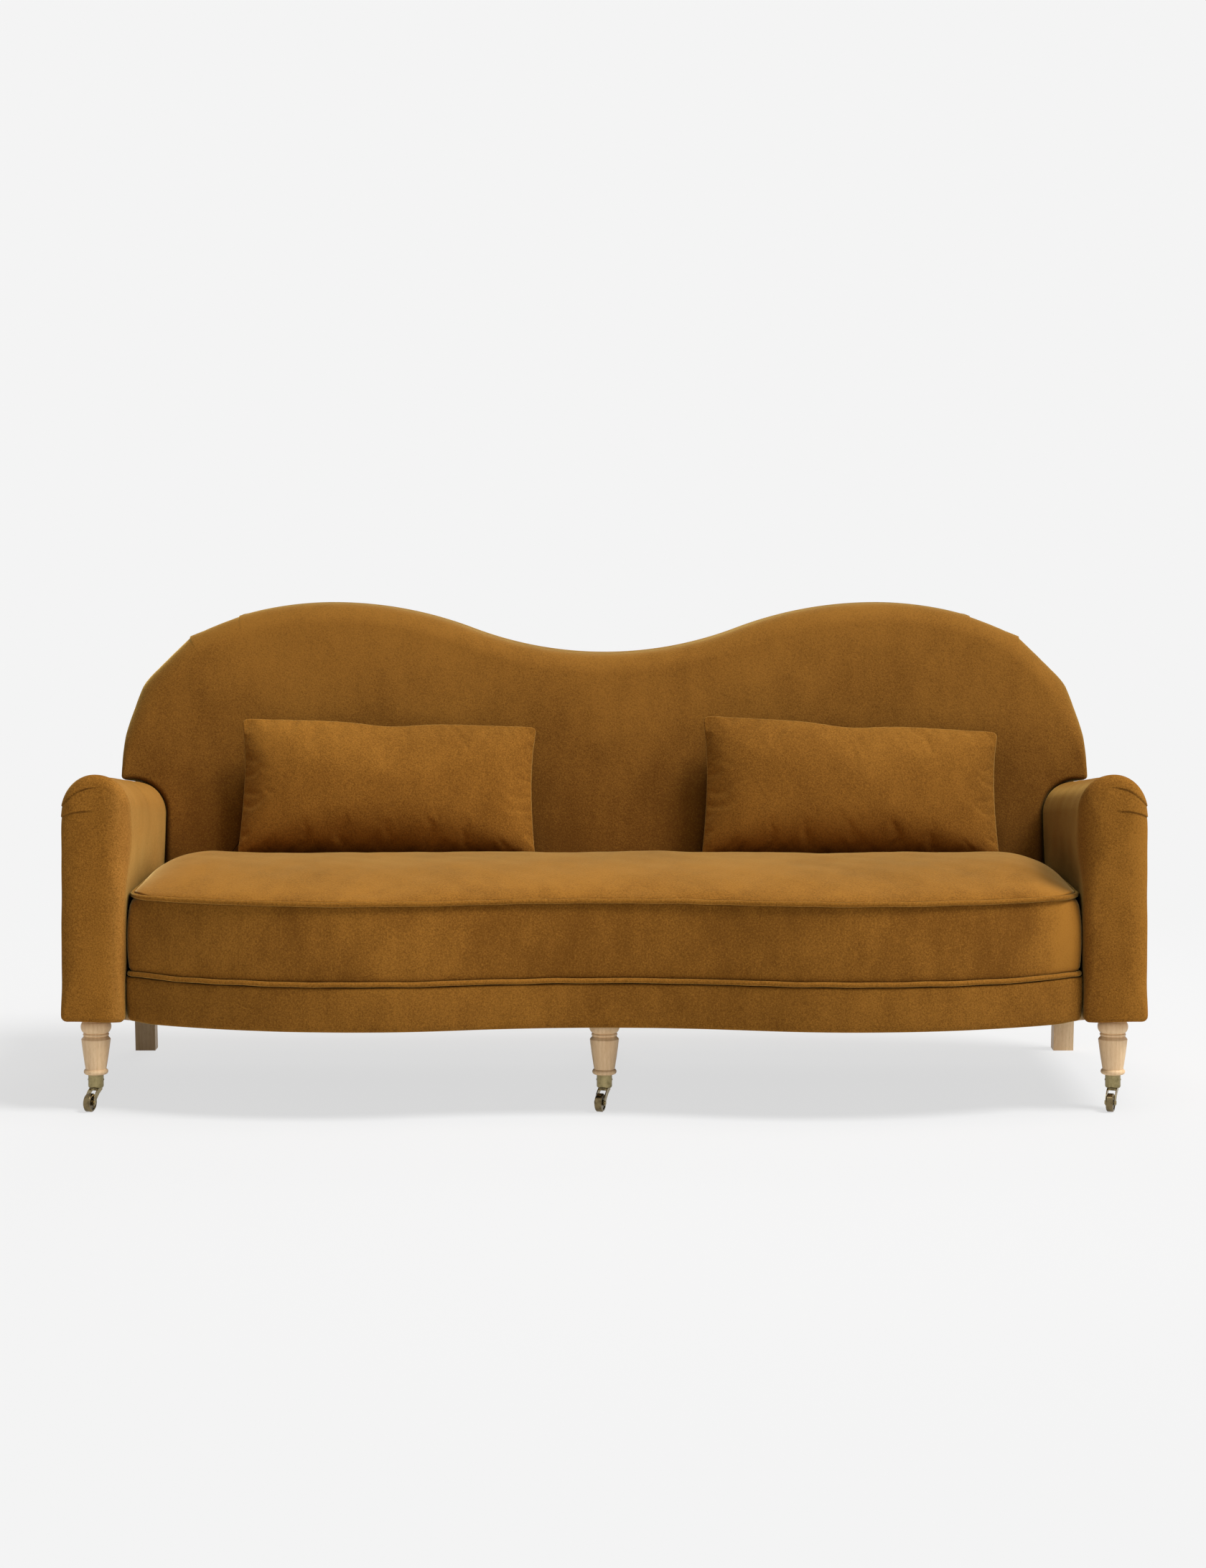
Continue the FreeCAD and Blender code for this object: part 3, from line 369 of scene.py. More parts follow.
# The front rail cover: a strip of velvet over thin padding, wrapped round the shaped front rail and tacked
# under it. It follows the rail's two bulges and the hollow between them, and its ends tuck in by the arms.
half_width = 1.067
front = -0.455
bulge_x = 0.4860
front_dip = 0.059
serpent_span = (bulge_x**2 + front_dip**2) / (2 * front_dip)
bulge_radius = 0.4234 * serpent_span
hollow_radius = serpent_span - bulge_radius
bulge_y = front + bulge_radius
hollow_y = front + front_dip - hollow_radius
meeting_x = hollow_radius * bulge_x / serpent_span
rail_bottom = 0.178
deck_top = 0.262


def serpentine(x, inset):
    """The seat's front line, set back by the inset: one circle's hollow, then another's bulge."""
    x = np.abs(x)
    hollow = hollow_y + np.sqrt(np.maximum((hollow_radius + inset) ** 2 - x**2, 0.0))
    bulge = bulge_y - np.sqrt(np.maximum((bulge_radius - inset) ** 2 - (x - bulge_x) ** 2, 0.0))
    turn = (hollow_radius + inset) / hollow_radius
    return np.where(x < meeting_x * turn, hollow, bulge)


def smooth(low, high, x):
    """0 below low, 1 above high, and a smooth rise between them, 3t^2 - 2t^3."""
    t = np.clip((x - low) / (high - low), 0.0, 1.0)
    return t * t * (3.0 - 2.0 * t)


def distances(points):
    """Each point's distance along a line of points."""
    steps = np.linalg.norm(np.diff(points, axis=-2), axis=-1)
    return np.concatenate([np.zeros(steps.shape[:-1] + (1,)), np.cumsum(steps, axis=-1)], axis=-1)


def spaced(points, shares):
    """Points of a line of points, at the given shares of its length."""
    run = distances(points)
    return np.stack([np.interp(shares * run[-1], run, column) for column in points.T], axis=1)


def ripple(points, size, seed):
    """Even, smooth unevenness from -1 to 1: six sine waves whose directions and phases come from the seed."""
    turn = np.random.default_rng(seed)
    ways = turn.normal(size=(6, 3))
    ways /= np.linalg.norm(ways, axis=1)[:, None]
    rates = ways * turn.uniform(0.7, 1.5, (6, 1)) * 2 * np.pi / size
    return np.sin(points @ rates.T + turn.uniform(0, 6.3, 6)).sum(axis=-1) / 3.5


def skin(name, rows, material, fold=None):
    """A closed skin: rows of points, each row a ring, joined by quads. Points that meet become one."""
    index = np.arange(rows[..., 0].size).reshape(rows.shape[:2])
    beside = np.roll(index, -1, axis=1)
    faces = np.stack([index[:-1], beside[:-1], beside[1:], index[1:]], axis=-1).reshape(-1, 4)
    return solid(name, rows, faces.tolist(), material, weld=0.00002, fold=fold)


velvet_dark = (0.140, 0.052, 0.0056)
velvet_light = (0.345, 0.146, 0.0205)


def scaled(colour, share):
    """A colour times a number, or times one number for each of its parts."""
    return tuple(np.array(colour[:3]) * share) + (1.0,)


sheen_tint = (1.0, 0.68, 0.20)


def velvet(
    name, turn, shift, depth=1.0, painted_shade=1.0, base=0.5, painted_light=(), inner=None, sheen=0.8, tint=sheen_tint,
    crease=0.12, folds=0.0,
):
    """Cut-pile velvet: cloudy shading where the pile lies differently, fine grain from its tufts, soft sheen.

    painted_shade scales the colour, a painted level of light or shade for each piece.
    painted_light lists (axis, from, to, share): painted light, lighter by the share, or darker where the
    share is negative, along that axis.
    inner has three factors for the colour of an arm's inner side: painted shade where they are under 1, a
    painted sheen where they are over 1. Painted shade darkens the velvet in creases as deep as the crease
    distance, with a near-black painted shadow in the deepest, and along the folds that its skin marks.
    """
    cloth = Finish(name)
    spot = cloth.spot()
    laid = cloth.node("ShaderNodeMapping", {}, {"Vector": spot, "Location": shift, "Rotation": turn})
    combed = cloth.node("ShaderNodeMapping", {}, {"Vector": laid, "Scale": (1.0, 1.0, 0.5)})
    broad = cloth.noise(laid, 5.0, 2.0, 0.45)
    cloud = cloth.noise(combed, 24.0, 3.0, 0.55)
    pile = cloth.noise(laid, 300.0, 2.0, 0.75)
    tuft = cloth.noise(laid, 900.0, 1.0)
    tone_and_painted_light = (broad - 0.5) * 0.55 + (cloud - 0.5) * 0.45
    grain = (pile - 0.5) * 1.6 + (tuft - 0.5) * 0.9
    # Painted light: bands along an axis where the velvet is painted lighter, or darker, as the lamps fall on
    # the piece.
    for axis, begin, end, share in painted_light:
        tone_and_painted_light = tone_and_painted_light + cloth.part(spot, axis).step(begin, end) * share / depth
    tone = (tone_and_painted_light * depth + grain * 0.95 + base).step(-0.1, 1.1)
    # The piece's whole colour is painted lighter or darker by its level: painted light or shade.
    dark, light = scaled(velvet_dark, painted_shade), scaled(velvet_light, painted_shade)
    colour = cloth.mix(tone, dark, light)
    # An arm's inner side painted paler, a painted sheen, or darker, painted shade, by the inner factors.
    if inner:
        share = (1 - abs(cloth.part(spot, "X")).step(0.934, 0.985)) * cloth.part(spot, "Y").step(-0.47, -0.42)
        colour = cloth.mix(share, colour, cloth.mix(tone, scaled(dark, inner), scaled(light, inner)))
    # Painted shade: where the ambient occlusion finds surfaces within the crease distance, the colour darkens
    # toward a third of the dark tone.
    open_air = cloth.node("ShaderNodeAmbientOcclusion", {"samples": 6}, {"Distance": crease}, "AO")
    colour = cloth.mix(open_air.step(0.0, 0.6), scaled(dark, 0.30), colour)
    # Painted shade along the folds that the skin's fold attribute marks.
    if folds:
        fold = cloth.node("ShaderNodeAttribute", {"attribute_name": "fold"}, {}, "Fac")
        colour = cloth.mix(fold * folds, colour, scaled(dark, 0.40))
    relief = cloth.relief(pile + tuft * 0.4, 0.5, 0.0012)
    surface = cloth.node(
        "ShaderNodeBsdfPrincipled",
        {},
        {
            "Base Color": colour,
            "Roughness": 0.92 - tone_and_painted_light * 0.1,
            "Specular IOR Level": 0.08,
            "Sheen Weight": sheen,
            "Sheen Roughness": 0.35,
            "Sheen Tint": tint + (1.0,),
            "Normal": relief,
        },
    )
    # A near-black painted shadow, which takes over in the deepest creases.
    crease_shadow = cloth.node("ShaderNodeBsdfDiffuse", {}, {"Color": scaled(dark, 0.08)})
    whole = cloth.node("ShaderNodeMixShader", {}, {0: open_air.step(0.02, 0.30), 1: crease_shadow, 2: surface})
    cloth.node("ShaderNodeOutputMaterial", {}, {"Surface": whole})
    return cloth.material


def fit(piece, body, nodes):
    """The piece stands for its CAD nodes and rides on their body."""
    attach(piece, body)
    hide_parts(*nodes)


# The rail's velvet is painted a tenth darker than the plain level: painted shade.
rail_velvet = velvet("rail_velvet", (0.0, 0.0, 0.0), (0.3, 0.7, 0.1), 1.2, 0.90)

rail_end = 0.9388
rail_set_in = 0.003
rail_skin_back = 0.0158
rail_wrap = 0.040
rail_lower_round = 0.0075
rail_upper_round = 0.004
rail_end_round = 0.013


def rail_profile(places):
    """The cover's section, as (inset, height): down the face, round the lower edge, under the rail and up."""
    quarter = np.linspace(0.0, np.pi / 2, 7)
    turn = np.stack([1 - np.sin(quarter), 1 - np.cos(quarter)], 1)
    top, low = deck_top - 0.0006, rail_bottom
    upper = (rail_set_in, top) + turn * (rail_upper_round, -rail_upper_round)
    height = np.linspace(top - rail_upper_round, low + rail_lower_round, 14)[1:-1]
    bulge = 0.0022 * np.sin(np.pi * (top - height) / (top - low))
    face = np.stack([rail_set_in - bulge, height], 1)
    lower = (rail_set_in, low) + turn[:, ::-1] * rail_lower_round
    under = np.array([[rail_wrap, low], [rail_wrap, low + 0.0015], [rail_skin_back + 0.003, low + 0.0015]])
    back = np.array([[rail_skin_back, low + 0.006], [rail_skin_back, top]])
    return spaced(np.concatenate([upper, face, lower, under, back, upper[:1]]), places)[:-1]


profile = rail_profile(np.linspace(0.0, 1.0, 75))
near_end = np.linspace(rail_end - 0.03, rail_end, 16)
along = np.concatenate([-near_end[::-1], np.linspace(-near_end[0], near_end[0], 330)[1:-1], near_end])
to_round = rail_end_round - np.minimum(rail_end - np.abs(along), rail_end_round)
curl = rail_end_round - np.sqrt(np.maximum(rail_end_round**2 - to_round**2, 0.0))[:, None]
profile_inset, profile_height = profile[None, :, 0], profile[None, :, 1]
low_share = 1 - smooth(rail_bottom, rail_bottom + 0.05, profile_height)
inset = profile_inset + curl * (1 - smooth(0.006, 0.016, profile_inset)) * (0.2 + 0.5 * low_share)
height = profile_height + curl * low_share
x = np.broadcast_to(along[:, None], inset.shape)
rows = np.stack([x, serpentine(x, inset), height], axis=-1)
rows[..., 2] += 0.0035 * smooth(0.80, 0.93, np.abs(x)) * smooth(0.24, 0.26, rows[..., 2])
hang = 1 - smooth(rail_bottom, rail_bottom + 0.045, rows[..., 2])
hang *= (1 - smooth(0.018, 0.036, profile_inset)) * (1 - smooth(0.88, 0.93, np.abs(x)))
rows[..., 2] -= 0.0034 * hang
rows[..., 1] += ripple(rows, 0.16, 3) * 0.0006 * (profile_inset < 0.013)
first, last = (np.broadcast_to(row.mean(axis=0), row.shape) for row in (rows[0], rows[-1]))
rows = np.concatenate([first[None], rows, last[None]])
rail_cover = skin("rail_cover", rows, rail_velvet)
fit(rail_cover, "sofa_frame", ["front_rail_cover"])


# The arms: slim frames padded with felt, each with one piece of velvet that comes up the inside, rolls over
# the top and wraps round the front. Its fullness is folded into two pleats on the front's outer half.
arm_middle = 0.9985
arm_radius = 0.0685
arm_front = -0.350
arm_front_top = 0.662
arm_slope = 0.1104
arm_corner = 0.012
arm_dome = 0.008
outer_set_in = 0.0028
pleat_rise = 0.0014
pleats = ((0.982, 0.6388, 0.0396, 2.8), (0.990, 0.5925, 0.0139, 3.5))
rear_gap = 0.0082
rear_y, rear_top, rear_lean = 0.455, 0.962, 0.0691


def rear_plane(z):
    """The outside back panel's inner face: it leans back a little toward the top."""
    return rear_y + (z - rear_top) * rear_lean - rear_gap


def arm_crown(y):
    """The height of the centre of the arm's half-round roll, which falls toward the back."""
    return arm_front_top - arm_radius - (y - arm_front) * arm_slope


def arm_half(way, crown):
    """Half of the arm's section, (x, z), from the middle of its underside round to the middle of its roll."""
    corner = np.linspace(-np.pi / 2, 0.0, 10)
    roll = np.linspace(0.0, np.pi / 2, 60)
    reach = arm_radius - (outer_set_in if way > 0 else 0.0)
    turn = (reach, rail_bottom) + arm_corner * np.stack([np.cos(corner) - 1, np.sin(corner) + 1], 1)
    top = np.stack([reach * np.cos(roll), crown + arm_radius * np.sin(roll)], 1)
    half = np.concatenate([[[0.0, rail_bottom]], turn, top])
    return half * (way, 1.0) + (arm_middle, 0.0)


# The section's points lie closer together at the pleats, so that each fold is a crisp step.
crown_front = arm_crown(arm_front)
length_to = distances(arm_half(1, crown_front))
straight = length_to[10] + (crown_front - rail_bottom - arm_corner)
beside_pleats = np.arange(straight - 0.030, straight + 0.066, 0.0011) / length_to[-1]
section_shares = np.unique(np.round(np.concatenate([np.linspace(0.0, 1.0, 120), beside_pleats]), 6))


def arm_ring(crown):
    """The whole section: up the inner half, then down the outer half."""
    inner = spaced(arm_half(-1, crown), section_shares)
    outer = spaced(arm_half(1, crown), section_shares)
    return np.concatenate([inner, outer[::-1][1:-1]])


def inward(ring, reach=0.003):
    """Each point's direction into a closed ring: square to the line from a reach before to a reach after."""
    looped = np.concatenate([ring, ring, ring, ring[:1]])
    run = distances(looped)
    here = run[len(ring) : 2 * len(ring)]
    ahead = np.stack([np.interp(here + reach, run, column) for column in looped.T], 1)
    before = np.stack([np.interp(here - reach, run, column) for column in looped.T], 1)
    tangent = ahead - before
    tangent /= np.linalg.norm(tangent, axis=1)[:, None]
    normal = np.stack([tangent[:, 1], -tangent[:, 0]], 1)
    area = np.sum(ring[:, 0] * np.roll(ring[:, 1], -1) - np.roll(ring[:, 0], -1) * ring[:, 1])
    return normal if area < 0 else -normal


ring = arm_ring(crown_front)
count = len(section_shares)
ring_share = np.concatenate([section_shares, section_shares[::-1][1:-1]])
outer_side = np.concatenate([np.zeros(count), np.ones(count - 2)])
ring_run = ring_share * length_to[-1]
side_start = length_to[10]
spine_keys = np.array([
    (0.0, 0.196), (side_start, 0.200), (side_start + 0.06, 0.252), (straight - 0.09, crown_front - 0.085),
    (straight - 0.0105, 0.5936), (straight + 0.0315, 0.6300), (length_to[-1], 0.6360),
])
spine = np.stack([np.full(len(ring), arm_middle), np.interp(ring_run, *spine_keys.T)], 1)
along_roll = smooth(straight - 0.05, straight + 0.05, ring_run)
at_foot = 1 - smooth(side_start - 0.01, side_start + 0.10, ring_run)
run_at_floor = side_start - rail_bottom - arm_corner
above_seat = smooth(run_at_floor + 0.42, run_at_floor + 0.50, ring_run)
side_round = np.where(outer_side > 0, 0.044, 0.028 + 0.028 * above_seat)
edge_round = side_round * (1 - along_roll) + 0.021 * along_roll
edge_round = edge_round * (1 - at_foot) + 0.009 * at_foot
edge_depth = edge_round * (1 - 0.55 * outer_side * (1 - along_roll) * (1 - at_foot))


def upright(flat, y):
    """Points of a front view, (x, z), at a depth: one for all of them, or one for each."""
    return np.column_stack([flat[:, 0], np.broadcast_to(y, len(flat)), flat[:, 1]])


def arm_rows(ring):
    """Rows of rings, and each point's share of the pleats.

    The rows run over the front from its upright middle line to the edge, round the edge, along the arm, and
    in again over the rear end.
    """
    into = inward(ring)
    rows, weights = [], []
    face_edge = ring + into * edge_round[:, None]
    for t in np.linspace(0.0, 1.0, 26) ** 0.8:
        bend = np.stack([spine[:, 0] * 0.5 + face_edge[:, 0] * 0.5, spine[:, 1]], 1)
        flat = spine * (1 - t) ** 2 + bend * 2 * t * (1 - t) + face_edge * t**2
        out = np.hypot(flat[:, 0] - arm_middle, np.maximum(flat[:, 1] - crown_front, 0.0)) / arm_radius
        rows.append(upright(flat, arm_front + arm_dome * out**2.5))
        weights.append(smooth(0.0, 0.2, np.full(len(ring), t)))
    edge_y = rows[-1][:, 1]
    for angle in np.linspace(0.0, np.pi / 2, 15)[1:]:
        flat = ring + into * (edge_round * (1 - np.sin(angle)))[:, None]
        rows.append(upright(flat, edge_y + edge_depth * (1 - np.cos(angle))))
        weights.append(np.ones(len(ring)))
    start = rows[-1]
    back_depth = rear_plane(ring[:, 1] - 0.05 * smooth(0.4, 0.6, ring[:, 1]))
    for share in np.linspace(0.0, 1.0, 56)[1:]:
        y = start[:, 1] * (1 - share) + back_depth * share
        crown_fall = (arm_crown(y) - crown_front) * smooth(0.30, 0.56, ring[:, 1])
        rows.append(np.stack([ring[:, 0], y, ring[:, 1] + crown_fall], 1))
        weights.append(np.exp(-(y - start[:, 1]) / 0.03))
    back = rows[-1]
    for t in (0.5, 0.0):
        flat = spine * (1 - t) + back[:, [0, 2]] * t
        flat[:, 1] = np.minimum(flat[:, 1], 0.56)
        rows.append(upright(flat, rear_plane(flat[:, 1])))
        weights.append(np.zeros(len(ring)))
    return np.array(rows), np.array(weights)


def past_fold(rows, pleat):
    """How far each point lies above a pleat's fold, and 0 to 1 along the fold from its start outward.

    The fold starts level near the front's middle and falls by the drop times a power of the way along.
    """
    start, height, drop, power = pleat
    way = np.clip((rows[..., 0] - start) / (arm_middle + arm_radius - outer_set_in - start), 0.0, 1.0)
    return rows[..., 2] - height + drop * way**power, smooth(0.0, 0.45, way)


def pleat_lift(rows, weights):
    """How far each point stands out: the fabric rises to a pleat's fold from above, and dips below it."""
    lift = np.zeros_like(weights)
    for pleat in pleats:
        above, depth = past_fold(rows, pleat)
        over = smooth(-0.0008, 0.0008, above)
        raised = pleat_rise * np.exp(-np.maximum(above, 0.0) / 0.016) * over
        dipped = -0.5 * pleat_rise * np.exp(np.minimum(above, 0.0) / 0.005) * (1 - over)
        lift += (raised + dipped) * weights * depth
    return lift


def pleat_shade(rows, weights):
    """The painted shade along the pleats: 1 along the two folds, falling to 0 within a few millimetres of
    each.
    """
    painted_shade = np.zeros_like(weights)
    for pleat in pleats:
        above, depth = past_fold(rows, pleat)
        painted_shade += np.exp(-(((above + 0.0008) / 0.0017) ** 2)) * weights * depth
    return painted_shade


def outward(rows):
    """Each point's direction out of a skin of rings: the cross product of its neighbours' differences."""
    round_it = np.roll(rows, -1, axis=1) - np.roll(rows, 1, axis=1)
    along_it = np.gradient(rows, axis=0)
    normal = np.cross(round_it, along_it)
    length = np.linalg.norm(normal, axis=-1, keepdims=True)
    normal /= np.maximum(length, 1e-12)
    centre = rows.reshape(-1, 3).mean(axis=0)
    facing = np.sum(normal * (rows - centre))
    return normal if facing > 0 else -normal


rows, weights = arm_rows(ring)
beside_cushion = (1 - smooth(0.44, 0.54, rows[..., 2])) * (1 - smooth(-0.10, 0.15, rows[..., 1]))
inner_share = np.clip((arm_middle - rows[..., 0]) / arm_radius, 0.0, 1.0) ** 2
rows[..., 0] += inner_share * beside_cushion * (0.0085 + 0.0012 * (1 - smooth(0.25, 0.40, rows[..., 2])))
normals = outward(rows)
# The pleats' painted shade: each point's share of the dark line painted along their folds.
lift, painted_shade = pleat_lift(rows, weights), pleat_shade(rows, weights)
soft_waves = ripple(rows, 0.11, 11) * 0.0007
normals[:2] = (0.0, -1.0, 0.0)
rows = rows + normals * (lift + soft_waves)[..., None]
# Each arm's look: the place of its pattern, its painted level of light, a band of painted light along X, its
# inner-side factors, and its sheen and tint. The left arm's inner edge and side are painted paler, a painted
# sheen; the right arm's outer edge is painted lighter, as if lit from the right, and its inner side darker,
# painted shade.
arm_look = {
    "left": ((1.3, 0.2, 0.4), 1.03, (-0.985, -0.925, 0.15), (1.22, 1.30, 1.75), 0.40, (1.0, 0.67, 0.19)),
    "right": ((2.1, 0.9, 0.6), 1.00, (1.01, 1.06, 0.28), (0.78, 0.76, 0.78), 0.28, (1.0, 0.64, 0.17)),
}
arm_velvet = {}
for side, way in (("left", -1.0), ("right", 1.0)):
    shift, tone, tone_and_painted_light, inner, sheen, tint = arm_look[side]
    look = {
        "painted_shade": tone, "painted_light": [("X",) + tone_and_painted_light], "inner": inner, "sheen": sheen, "tint": tint, "folds": 0.6
    }
    arm_velvet[side] = velvet(side + "_arm_velvet", (0.0, -0.2 * way, 0.0), shift, **look)
    arm_cover = skin(side + "_arm_cover", rows * (way, 1.0, 1.0), arm_velvet[side], fold=painted_shade)
    fit(arm_cover, "sofa_frame", [side + "_arm_pad", side + "_arm_facing"])


# The outside arm panels: velvet over card, stretched down each arm's outer side and blind-tacked under the
# roll, from just behind the front wrap to the back.
panel_front = -0.2980
panel_thickness = 0.008
panel_edge_round = 0.0035


def slab_rows(outline, centre, low_side, high_side, edge, turns=5):
    """A flat pad between two faces: rings from one face's centre out, round both edges, and in again."""
    into = inward(outline)
    shares = np.array([0.0, 0.25, 0.5, 0.75, 0.92])
    swing = np.linspace(0.0, np.pi / 2, turns)
    half_inset = np.concatenate([np.full(5, edge), edge * (1 - np.sin(swing))])
    inset = np.concatenate([half_inset, half_inset[::-1]])
    reach = np.concatenate([shares, np.ones(2 * turns), shares[::-1]])
    flat = centre + (outline + into * inset[:, None, None] - centre) * reach[:, None, None]
    rise = edge * (1 - np.cos(np.concatenate([np.zeros(5), swing])))[:, None]
    level = np.concatenate([low_side + rise, high_side - rise[::-1]])
    return np.concatenate([flat, level[..., None]], axis=2)


for side, way in (("left", -1.0), ("right", 1.0)):
    low_rear, high_rear = rear_plane(rail_bottom) - 0.0002, rear_plane(0.52) - 0.0002
    high_corner = arm_crown(high_rear) - 0.006
    front_corner = arm_crown(panel_front) - 0.006
    low = rail_bottom + 0.0005
    corners = [(panel_front, low), (low_rear, low), (high_rear, high_corner), (panel_front, front_corner)]
    outline = spaced(np.array(corners + corners[:1]), np.linspace(0.0, 1.0, 321))[:-1]
    level = np.zeros((1, len(outline)))
    faces = level + half_width - panel_thickness, level + half_width - 0.0020
    rows = slab_rows(outline, outline.mean(axis=0), *faces, panel_edge_round)[..., [2, 0, 1]]
    at_front = 1 - smooth(panel_front, panel_front + 0.035, rows[..., 1])
    rows[..., 0] -= 0.0022 * (rows[..., 0] > half_width - 0.006) * at_front
    rows[..., 0] += (rows[..., 0] > half_width - 0.003) * ripple(rows, 0.25, 22 + int(way)) * 0.0004
    outside_arm = skin(side + "_outside_arm", rows * (way, 1.0, 1.0), arm_velvet[side])
    fit(outside_arm, "sofa_frame", [side + "_outside_arm_panel"])


# The inside back: felt and cotton over webbing, covered by one piece of velvet pulled over the camel top and
# the round shoulders. Two pleats a side take up its fullness, and it tucks down behind the cushion.
back_top = 0.974
dip_drop = 0.108
hump_x = 0.590
hump_span = (hump_x**2 + dip_drop**2) / (2 * dip_drop)
inner_hump_radius = 0.5163 * hump_span
dip_radius = hump_span - inner_hump_radius
outer_hump_radius = 0.740
shoulder_x, shoulder_radius = 0.697, 0.338
outer_hump_z = back_top - outer_hump_radius
shoulder_z = outer_hump_z + math.sqrt((outer_hump_radius - shoulder_radius) ** 2 - (shoulder_x - hump_x) ** 2)
shoulder_turn = math.degrees(math.atan2(shoulder_z - outer_hump_z, shoulder_x - hump_x))
hump_turn = math.degrees(math.asin(hump_x / hump_span))
shoulder_centre, outer_centre = (shoulder_x, shoulder_z), (hump_x, outer_hump_z)
inner_centre, dip_centre = (hump_x, back_top - inner_hump_radius), (0.0, back_top - dip_drop + dip_radius)
arm_gap = 0.0004
lap_round = 0.016
back_foot = 0.262
seat_edge = 0.422
seat_depth = 0.645
rake_angle = math.radians(14.0)
rake = math.tan(rake_angle)
back_crown = 0.012
top_round, tuck_round = 0.042, 0.014


def back_face(z):
    """The straight raked line under the inside back's crown."""
    return front + seat_depth + (z - seat_edge) * rake


def circle(centre, radius, first, last, count):
    """Points on a circle from one angle to another, in degrees from +X."""
    angle = np.radians(np.linspace(first, last, count))
    return np.stack([centre[0] + radius * np.cos(angle), centre[1] + radius * np.sin(angle)], 1)


def mirrored(half):
    """A ring from its right half, which runs from the middle of the foot to the middle of the top."""
    return np.concatenate([half, (half * (-1.0, 1.0))[::-1][1:-1]])


def camel_half(crown):
    """The inside back's right half: foot, up beside the arm, over its roll, shoulder, hump and dip."""
    radius = arm_radius + arm_gap
    side = arm_middle - radius
    lap_x = shoulder_x + shoulder_radius - lap_round
    reach = math.sqrt((radius + lap_round) ** 2 - (lap_x - arm_middle) ** 2)
    leave = math.degrees(math.atan2(reach, lap_x - arm_middle))
    foot = np.linspace((0.0, back_foot), (side, back_foot), 90)
    rise = np.linspace((side, back_foot), (side, crown), 40)[1:]
    notch = circle((arm_middle, crown), radius, 180.0, leave, 34)[1:]
    lap = circle((lap_x, crown + reach), lap_round, leave + 180.0, 360.0, 16)[1:]
    flank = np.linspace(lap[-1], (shoulder_x + shoulder_radius, shoulder_z), 6)[1:]
    shoulder = circle(shoulder_centre, shoulder_radius, 0.0, shoulder_turn, 190)[1:]
    outer = circle(outer_centre, outer_hump_radius, shoulder_turn, 90.0, 70)[1:]
    inner = circle(inner_centre, inner_hump_radius, 90.0, 90.0 + hump_turn, 60)[1:]
    dip = circle(dip_centre, dip_radius, -90.0 + hump_turn, -90.0, 50)[1:]
    return np.concatenate([foot, rise, notch, lap, flank, shoulder, outer, inner, dip])


near_y, far_y = 0.22, 0.44
high, low = arm_crown(near_y), arm_crown(far_y)
ring = mirrored(camel_half(high))
fall = (mirrored(camel_half(low)) - ring) / (far_y - near_y)
into = inward(ring)
across = np.abs(ring[:, 0])
above_arm = smooth(0.60, 0.78, ring[:, 1]) * (across > 0.5) + (across <= 0.5) * (ring[:, 1] > 0.5)
rounding = tuck_round + (top_round - tuck_round) * above_arm
rounding = np.where(ring[:, 1] < back_foot + 0.001, 0.010, rounding)

# The pleats: between two folds the velvet runs straighter than the round shoulder, and each fold's upper
# side stands a little proud of the facet below it. Each pair is a distance up the shoulder and a rise.
shoulder_run = distances(camel_half(high))
from_shoulder = np.abs(camel_half(high) - (shoulder_x + shoulder_radius, shoulder_z)).sum(axis=1)
shoulder_start = shoulder_run[np.argmin(from_shoulder)]
run = np.concatenate([shoulder_run, shoulder_run[::-1][1:-1]]) - shoulder_start
fold_low, fold_high = 0.3230, 0.4373
draw_keys = np.array([
    (-0.090, 0.0), (-0.030, -7.0), (0.0105, -8.0), (0.045, -6.3), (0.0715, -4.3), (0.0966, -3.9),
    (0.120, -3.2), (0.1355, -2.2), (0.160, 0.8), (0.180, 3.4), (0.190, 3.4), (0.205, 2.0),
    (0.228, -1.2), (0.2543, -3.0), (0.285, -2.6), (0.305, -0.9), (fold_low - 0.0009, 1.2),
    (fold_low + 0.0004, 4.2), (0.333, 2.2), (0.352, -1.6), (0.3798, -3.7), (0.408, -4.6),
    (fold_high - 0.0009, -4.2), (fold_high + 0.0004, -1.2), (0.450, -2.2), (0.480, -2.0), (0.600, -2.0),
]) * (1.0, 0.001)
draw = np.interp(run, draw_keys[:, 0], draw_keys[:, 1])
draw = np.where(ring[:, 1] < 0.56, 0.0, draw)


def crowned(x, z):
    """The padded front: the raked line, drawn forward by a shallow crown from foot to top."""
    top = back_top - 0.110 * (1 - smooth(0.0, 0.5, np.abs(x)))
    share = np.clip((z - back_foot) / (top - back_foot), 0.0, 1.0)
    side = 1 - 0.7 * smooth(0.80, 1.03, np.abs(x))
    return back_face(z) - back_crown * (1 - (2 * share - 1) ** 2) * side


